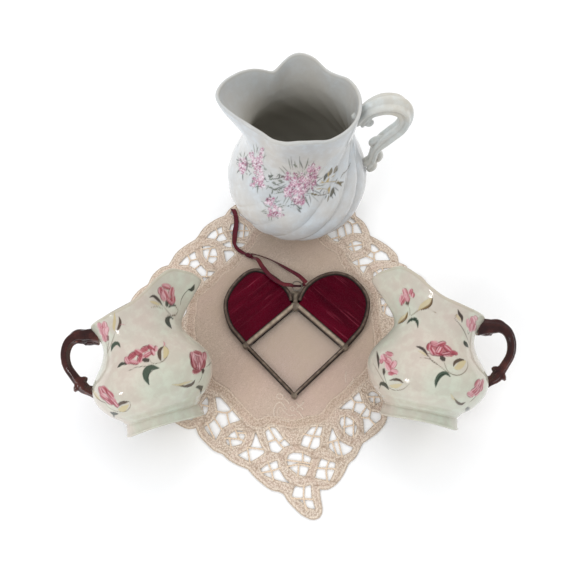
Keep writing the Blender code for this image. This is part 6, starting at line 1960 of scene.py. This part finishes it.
def came_section(w, crown):
    """One lead came: rounded flanges above and below a thin web."""
    a = w / 2
    zc = HEART_Z + CAME_H / 2
    g = CAME_GROOVE / 2 - 0.15
    h = CAME_H / 2
    # the third value is 1 on the crown and low on the flanks, web and underside: partly patina, partly painted
    # highlight and shade
    half = [(-a, g, 0.0), (-a * 0.97, g + 0.42, 0.1), (-a * 0.72, h - 0.12, 0.32), (-a * 0.35, h + crown * 0.7, 1.0),
            (0.0, h + crown, 1.0), (a * 0.35, h + crown * 0.7, 1.0), (a * 0.72, h - 0.12, 0.32),
            (a * 0.97, g + 0.42, 0.1), (a, g, 0.0)]
    low = [(x, -z if z < h else -(h - 0.05), 0.2) for x, z, _ in half[::-1]]
    sec = [(0.4, g, 0.0), (0.4, -g, 0.0)] + [(x, z, t) for x, z, t in low if True]
    # run round the outline: top flange, right web, bottom flange, left web
    top = [(x, z, t) for x, z, t in half]
    out = top + [(0.4, g, 0.0), (0.4, -g, 0.0)] + low + [(-0.4, -g, 0.0), (-0.4, g, 0.0)]
    return [(x, zc + z, t) for x, z, t in out]


def came(name, path, w, crown, mat, replaces, seed):
    sec = came_section(w, crown)
    p = even(np.asarray([tuple(q)[:2] for q in path], float), 0.8)
    rings = np.array(sweep_mitred(p, sec))
    # slightly uneven pressing of the soft lead
    s = np.arange(len(p)) * 0.8
    top = np.array([1.0 if z > HEART_Z + CAME_H / 2 + 1.3 else 0.0 for _, z, _ in sec])
    k = wobble(s * 0.55, s * 0.31, 0, seed)
    rings[:, :, 2] += top[None, :] * (0.09 * k[:, None])
    side = np.array([x for x, _, _ in sec])
    t = tangents(p)
    nrm = np.stack([-t[:, 1], t[:, 0]], -1)
    k2 = wobble(s * 0.4, s * 0.7, 0, seed + 3)
    rings[:, :, :2] += (nrm * (0.05 * k2)[:, None])[:, None, :] * np.sign(side)[None, :, None]
    bag = Bag()
    m, n, _ = rings.shape
    bag.add(rings.reshape(-1, 3), None, ring_quads(m, n))
    # caps
    fl = [0, 1, 2, 3, 4, 5, 6, 7, 8]
    ends = []
    for base, flip in ((0, False), ((m - 1) * n, True)):
        idx = np.arange(n) + base
        topf = [idx[i] for i in range(0, 9)] + [idx[9], idx[n - 1]]
        botf = [idx[i] for i in range(11, 20)] + [idx[20], idx[10]]
        web = [idx[9], idx[10], idx[20], idx[21]] if n == 22 else None
        for f in (topf, botf):
            for i in range(1, len(f) - 1):
                ends.append((f[0], f[i], f[i + 1]) if flip else (f[0], f[i + 1], f[i]))
        if web:
            for i in (1, 2):
                ends.append((web[0], web[i], web[i + 1]) if flip else (web[0], web[i + 1], web[i]))
    bag.tri.append(np.array(ends))
    if signed_volume(np.concatenate(bag.co), np.concatenate(bag.quad), np.concatenate(bag.tri)) < 0:
        bag.quad = [q[:, ::-1] for q in bag.quad]
        bag.tri = [q[:, ::-1] for q in bag.tri]
    ob = bag.make(name, [mat])
    wear_and_shade = np.tile(np.array([t for _, _, t in sec]), m) * (0.8 + 0.2 * np.repeat(k, n))
    put_attr(ob, "wear_and_shade", wear_and_shade)
    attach(ob, "heart")
    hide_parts(replaces)
    return ob


def heart():
    zc = HEART_Z + CAME_H / 2
    left = spline([P(*q) for q in LOBE_L], n=6)
    right = spline([P(*q) for q in LOBE_R], n=6)
    T, L, R, B = (np.array(P(*q)) for q in (H_TOP, H_LEFT, H_RIGHT, H_TIP))

    def cut(path, a, b):
        p = even(np.asarray(path, float), 0.25)
        return p[int(round(a / 0.25)): len(p) - int(round(b / 0.25))]

    came("lead_lobe_left", cut(left, 0.4, 1.0), LOBE_CAME_W, 0.16, LEAD_LOBE, "came_lobe_left", 1)
    came("lead_lobe_right", cut(right, 0.4, 1.0), LOBE_CAME_W, 0.16, LEAD_LOBE, "came_lobe_right", 2)
    came("lead_inner_left", cut([T, L], 2.0, 1.5), INNER_CAME_W, 0.10, LEAD_INNER, "came_inner_left", 3)
    came("lead_inner_right", cut([T, R], 2.0, 1.5), INNER_CAME_W, 0.10, LEAD_INNER, "came_inner_right", 4)
    came("lead_lower_left", cut([L, B], 1.0, 1.0), LOWER_CAME_W, 0.14, LEAD_LOWER, "came_lower_left", 5)
    came("lead_lower_right", cut([R, B], 1.0, 1.0), LOWER_CAME_W, 0.14, LEAD_LOWER, "came_lower_right", 6)

    # dark cement lines where glass meets lead
    bag = Bag()

    def putty(path, off, w=0.42):
        p = even(np.asarray(path, float), 0.9)
        t = tangents(p)
        nrm = np.stack([-t[:, 1], t[:, 0]], -1)
        s = np.arange(len(p)) * 0.9
        q = p + nrm * (off + 0.06 * wobble(s * 0.8, s * 0.5, 0, off))[:, None]
        cord(bag, np.column_stack([q, np.full(len(q), zc + GLASS_T / 2 + 0.08)]),
             lambda v: w * (0.8 + 0.3 * wobble(v * 40, v * 23, 0, off)), 6, flat=0.7)
    putty(cut(left, 3.5, 2.5), (LOBE_CAME_W / 2 + 0.15))
    putty(cut(right, 3.5, 2.5), -(LOBE_CAME_W / 2 + 0.15))
    for a, b, w in ((T, L, INNER_CAME_W), (T, R, INNER_CAME_W)):
        for sgn in (-1, 1):
            putty(cut([a, b], 5.0, 4.0), sgn * (w / 2 + 0.2), 0.5)
    putty(cut([L, B], 3.0, 3.0), (LOWER_CAME_W / 2 + 0.1), 0.34)
    putty(cut([R, B], 3.0, 3.0), -(LOWER_CAME_W / 2 + 0.1), 0.34)
    ob = bag.make("cement_lines", [PUTTY])
    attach(ob, "heart")

    # solder
    def blob(name, c, r, tall, replaces, sx=1.0, sy=1.0, turn=0.0, extra=()):
        bg = Bag()
        rings = []
        for k, (f, z) in enumerate(((0.35, -2.15), (0.92, -2.0), (1.04, -1.2), (1.04, 0.9), (1.0, 1.7), (0.8, 2.05),
                                    (0.52, 2.2 + tall * 0.6), (0.2, 2.2 + tall))):
            ring = []
            for i in range(28):
                u = TAU * i / 28
                w = 1 + 0.07 * math.sin(3 * u + c[0]) + 0.05 * math.sin(5 * u + 1.3 * c[1])
                x, y = f * r * sx * w * math.cos(u), f * r * sy * w * math.sin(u)
                ring.append((c[0] + x * math.cos(turn) - y * math.sin(turn),
                             c[1] + x * math.sin(turn) + y * math.cos(turn), zc + z))
            rings.append(ring)
        loft_into(bg, rings)
        for pts, rad in extra:
            cord(bg, pts, rad, 12)
        o = bg.make(name, [SOLDER])
        if extra:
            fuse(o, 0.3, 3)
        put_attr(o, "wear_and_shade", np.full(len(o.data.vertices), 0.75))
        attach(o, "heart")
        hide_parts(replaces)
    cl = P(H_TOP[0], H_TOP[1] - 1.7)
    up = P(H_TOP[0] + 0.2, H_TOP[1] + 8.2)
    blob("solder_cleft", cl, 3.1, 0.4, "solder_joint_cleft", extra=[
        ([(cl[0], cl[1], zc), (cl[0] - 0.1, cl[1] + 4.0, zc + 0.3), (up[0], up[1], zc + 0.6)], 1.75),
        ([(up[0] - 2.4, up[1] + 1.2, zc + 0.7), (up[0], up[1] + 0.3, zc + 1.1),
          (up[0] + 2.2, up[1] + 0.9, zc + 0.8)], 1.25)])
    blob("solder_left", P(*H_LEFT), 2.0, 0.25, "solder_joint_left", 1.0, 1.15, 0.7)
    blob("solder_right", P(*H_RIGHT), 2.0, 0.25, "solder_joint_right", 1.0, 1.15, -0.7)
    blob("solder_tip", P(*H_TIP), 1.9, 0.2, "solder_joint_tip", 0.95, 1.05, 0.2)

    # panes
    inset = CAME_WEB / 2 + GAP

    def pane(name, mat, parts, step, ripple, angle, replaces):
        loop = np.vstack([np.asarray(q)[:-1] for q in parts])
        loop = even(loop, 1.2, True)
        loop = offset_loop(loop, -inset)
        loop = offset_loop(loop, 0.0)
        co, tri, kept = flat_mesh([loop], lambda p: in_poly(p, loop), step, 0.35 * step, 2.0)
        ca, sa = math.cos(angle), math.sin(angle)

        def top(p):
            u = p[:, 0] * ca + p[:, 1] * sa           # along the ribs
            v = -p[:, 0] * sa + p[:, 1] * ca
            rib = np.sin(v * 2.6 + 0.5 * wobble(u * 0.06, v * 0.3, 0, 1.0))
            roll = wobble(p[:, 0] * 0.13, p[:, 1] * 0.11, 0, 6.0)
            return zc + GLASS_T / 2 + ripple * (0.55 * rib + 0.9 * roll)
        ob = thick_plate(name, co, tri, kept, top, lambda p: np.full(len(p), zc - GLASS_T / 2), [mat], {})
        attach(ob, "heart")
        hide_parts(replaces)
    al = math.atan2(*(L - T)[::-1])
    ar = math.atan2(*(R - T)[::-1])
    pane("ruby_pane_left", red_glass("ruby_left", -al), [left, [left[-1], L], [L, T], [T, left[0]]], 1.0, 0.05,
         al, "red_glass_left")
    pane("ruby_pane_right", red_glass("ruby_right", -ar), [right, [right[-1], R], [R, T], [T, right[0]]], 1.0, 0.05,
         ar, "red_glass_right")
    pane("clear_pane", CLEAR, [[T, L], [L, B], [B, R], [R, T]], 2.4, 0.02, 0.3, "clear_glass")

    # hanging ring of wire
    c = np.array([*P(6.2, -2.2), HEART_Z + CAME_H + 1.75])
    lean = math.radians(8)
    u = np.linspace(0, TAU, 64, endpoint=False)
    path = np.stack([c[0] + 3.4 * np.cos(u), c[1] + 3.4 * np.sin(u) * math.cos(lean),
                     c[2] + 3.4 * np.sin(u) * math.sin(lean)], -1)
    bag = Bag()
    cord(bag, path, 0.42, 12, closed=True)
    ob = bag.make("wire_ring", [WIRE])
    put_attr(ob, "wear_and_shade", np.full(len(ob.data.vertices), 0.9))
    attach(ob, "heart")
    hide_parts("hanging_ring")


# --------------------------------------------------------------------- ribbon
def strip(name, ctrl, body, replaces, widths=((0, 1), (1, 1)), banks=((0, 0), (1, 0)), cut=(0, 0), curl=0.10,
          shade=((0, 0), (1, 0))):
    """Satin ribbon: a thin strip that can narrow, bank and cup along its way."""
    path = even(spline([(*P(x, y), z) for x, y, z in ctrl], n=10), 0.35)
    t = tangents(path)
    s = np.linspace(0, 1, len(path))
    wf, bf, sf = curve_of(widths), curve_of(banks), curve_of(shade)
    cols = np.linspace(-1, 1, 9)
    th = 0.16
    rings, uvs, wear_and_shade = [], [], []
    for i, p in enumerate(path):
        side = np.array([-t[i][1], t[i][0], 0.0])
        side /= np.linalg.norm(side)
        up = np.cross(t[i], side)
        if up[2] < 0:
            up = -up
        b = math.radians(float(bf(s[i])))
        sd = side * math.cos(b) + up * math.sin(b)
        un = up * math.cos(b) - side * math.sin(b)
        hw = RIBBON_W / 2 * float(wf(s[i]))
        row, uv, wr = [], [], []
        for k, c in enumerate(cols):
            lead_in = 0.0
            if i == len(path) - 1:
                lead_in = cut[1] * c
            if i == 0:
                lead_in = cut[0] * c
            z = curl * (c * c) + 0.03 * math.sin(i * 0.9 + c * 2)
            row.append(p + sd * hw * c + un * (0.22 + th + z) + t[i] * lead_in)
            uv.append((i * 0.35, hw * c))
            # darker along both edges; painted shade where the shade curve rises
            wr.append(max(float(sf(s[i])), smooth01((abs(c) - 0.72) / 0.2)))
        for k, c in enumerate(cols[::-1]):
            lead_in = cut[1] * c if i == len(path) - 1 else (cut[0] * c if i == 0 else 0)
            z = curl * (c * c) + 0.03 * math.sin(i * 0.9 + c * 2)
            row.append(p + sd * hw * c + un * (0.22 - th + z) + t[i] * lead_in)
            uv.append((i * 0.35, hw * c))
            wr.append(0.3)
        rings.append(row)
        uvs += uv
        wear_and_shade += wr
    bag = Bag()
    rings = np.array(rings)
    m, n, _ = rings.shape
    q = ring_quads(m, n)
    caps = []
    for base, flip in ((0, False), ((m - 1) * n, True)):
        for k in range(8):
            f = [base + k, base + k + 1, base + n - 2 - k, base + n - 1 - k]
            caps.append(f if flip else f[::-1])
    allq = np.vstack([q, caps])
    co = rings.reshape(-1, 3)
    if signed_volume(co, allq, np.zeros((0, 3), int)) < 0:
        allq = allq[:, ::-1]
    bag.add(co, None, allq, np.array(uvs))
    ob = bag.make(name, [SATIN])
    put_attr(ob, "wear_and_shade", np.array(wear_and_shade))
    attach(ob, body)
    if replaces:
        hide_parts(replaces)
    return ob


def ribbon():
    # the middle of the loop is painted in shade where it runs inside the ring
    strip("satin_loop", [(1.55, -2.13, 7.93)] + LOOP, "heart", "ribbon_loop", ((0, 0.95), (0.3, 0.55), (0.65, 0.5), (1, 0.95)),
          ((0, 0), (0.5, 14), (1, 0)), curl=0.22,
          shade=((0, 0), (0.15, 0.6), (0.3, 1), (0.7, 1), (0.85, 0.6), (1, 0)))
    strip("satin_strand_left", [(x - 0.5 * smooth01((x + 20) / 7.0) * smooth01((-1 - x) / 7.0),
                                y - 1.3 * smooth01((x + 22) / 6.0) * smooth01(-x / 5.0)
                                - 1.2 * smooth01((x + 20) / 7.0) * smooth01((-1 - x) / 7.0), z)
                               for x, y, z in [(1.35, -2.08, 7.87)] + STRAND_L]
          + [(-27.2, 24.2, 2.5)], "ribbon", "ribbon_strand_left",
          ((0, 1), (0.45, 1.05), (0.72, 1.0), (0.9, 0.85), (1, 0.8)), ((0, 0), (0.55, -12), (0.85, 8), (1, 18)),
          curl=0.18)
    strip("satin_strand_right", [(x, y - 1.1 * smooth01((x + 20) / 9.0) * smooth01((11 - x) / 6.0), z)
                                 for x, y, z in STRAND_R] + [(-26.6, 26.2, 1.9)], "ribbon", "ribbon_strand_right",
          ((0, 1.0), (0.4, 0.95), (0.6, 0.72), (0.8, 0.45), (0.92, 0.4), (1, 0.55)),
          ((0, 0), (0.25, 10), (0.5, 30), (0.7, 52), (0.9, 52), (1, 30)), curl=0.2)
    strip("satin_tail", [(-27.6, 25.6, 2.0)]
          + [(x + 1.7 * smooth01((y - 27) / 8.0), y + 3.0 * smooth01((y - 52) / 11.0), z) for x, y, z in TAIL],
          "ribbon", "ribbon_tail",
          ((0, 0.6), (0.12, 0.9), (0.3, 0.8), (0.42, 1.15), (0.6, 1.3), (0.8, 1.1), (1, 1.1)),
          ((0, 40), (0.1, 12), (0.25, -8), (0.45, 18), (0.62, -10), (0.8, 10), (1, 0)), cut=(0, 1.3), curl=0.22)
    # the half-knot: one turn of ribbon gathered round the others
    kc = np.array([*P(-28.3, 25.2), 2.45])
    ax = np.array([-0.86, 0.5, 0.0])
    ax /= np.linalg.norm(ax)
    sd = np.array([-ax[1], ax[0], 0.0])
    bag = Bag()
    rings, wear_and_shade = [], []
    for i, t in enumerate(np.linspace(-2.3, 2.3, 15)):
        k = math.sqrt(max(0.05, 1 - (t / 2.45) ** 2)) * 0.5 + 0.5
        ring = []
        for u in np.linspace(0, TAU, 28, endpoint=False):
            f = 1 + 0.09 * math.sin(4 * u + t * 1.6) + 0.05 * math.sin(7 * u - t)
            ring.append(kc + ax * (t + 0.25 * math.sin(2 * u)) + sd * (1.75 * k * f * math.cos(u))
                        + np.array([0, 0, 1.0 * k * f * math.sin(u)]))
            wear_and_shade.append(0.25 + 0.25 * math.sin(4 * u + t * 1.6))
        rings.append(ring)
    loft_into(bag, rings)
    ob = bag.make("satin_knot", [SATIN])
    put_attr(ob, "wear_and_shade", np.clip(np.array(wear_and_shade + [0.3, 0.3]), 0, 1))
    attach(ob, "ribbon")
    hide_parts("ribbon_knot")


heart()
ribbon()


# ---------------------------------------------------------------------- stage
def stage():
    s = 1.6
    floor = make_mesh("floor", [(-s, -s, -0.0004), (s, -s, -0.0004), (s, s, -0.0004), (-s, s, -0.0004)],
                      [np.array([[0, 1, 2, 3]])], [], False)
    k = Mat("pale_floor")
    k.inp(Base_Color=(0.9, 0.9, 0.895, 1.0), Roughness=0.8)
    floor.data.materials.append(k.m)

    def area(name, at, to, size, power, colour=(1, 1, 1)):
        d = bpy.data.lights.new(name, "AREA")
        d.shape = "RECTANGLE"
        d.size, d.size_y = size
        d.energy = power
        d.color = colour
        o = bpy.data.objects.new(name, d)
        bpy.context.scene.collection.objects.link(o)
        o.location = at
        o.rotation_euler = (Vector(to) - Vector(at)).to_track_quat("-Z", "Y").to_euler()
        return o

    soft = [area("window", (-0.75, -0.75, 0.85), (0, 0, 0.02), (0.7, 0.7), 5.4, (0.975, 0.985, 1.0)),
            area("fill_right", (0.9, 0.2, 0.9), (0, 0, 0.02), (0.9, 0.9), 2.8, (1.0, 0.95, 0.86)),
            area("back", (0.0, 0.9, 1.0), (0, 0, 0.03), (1.2, 0.6), 5.2, (1.0, 0.985, 0.96))]
    for o in soft:
        o.visible_glossy = False
    area("pane", (-1.17, -1.03, 0.60), (0, 0, 0.05), (0.17, 0.21), 2.4, (1.0, 0.995, 0.985))
    w = bpy.data.worlds.new("studio")
    w.use_nodes = True
    t = w.node_tree
    bg = t.nodes["Background"]
    bg.inputs["Color"].default_value = (0.95, 0.965, 1.0, 1.0)
    path = t.nodes.new("ShaderNodeLightPath")
    rng = t.nodes.new("ShaderNodeMapRange")
    t.links.new(path.outputs["Is Glossy Ray"], rng.inputs["Value"])
    rng.inputs["To Min"].default_value = 0.88
    rng.inputs["To Max"].default_value = 0.26
    t.links.new(rng.outputs[0], bg.inputs["Strength"])
    bpy.context.scene.world = w
    c = bpy.data.cameras.new("camera")
    c.lens, c.sensor_width = CAM_LENS, CAM_SENSOR
    c.clip_start = 0.01
    cam = bpy.data.objects.new("camera", c)
    cam.location = CAM_AT
    cam.rotation_euler = (CAM_TILT, 0, 0)
    bpy.context.scene.collection.objects.link(cam)
    bpy.context.scene.camera = cam
    bpy.context.scene.view_settings.view_transform = "Standard"


stage()
bpy.context.view_layer.update()
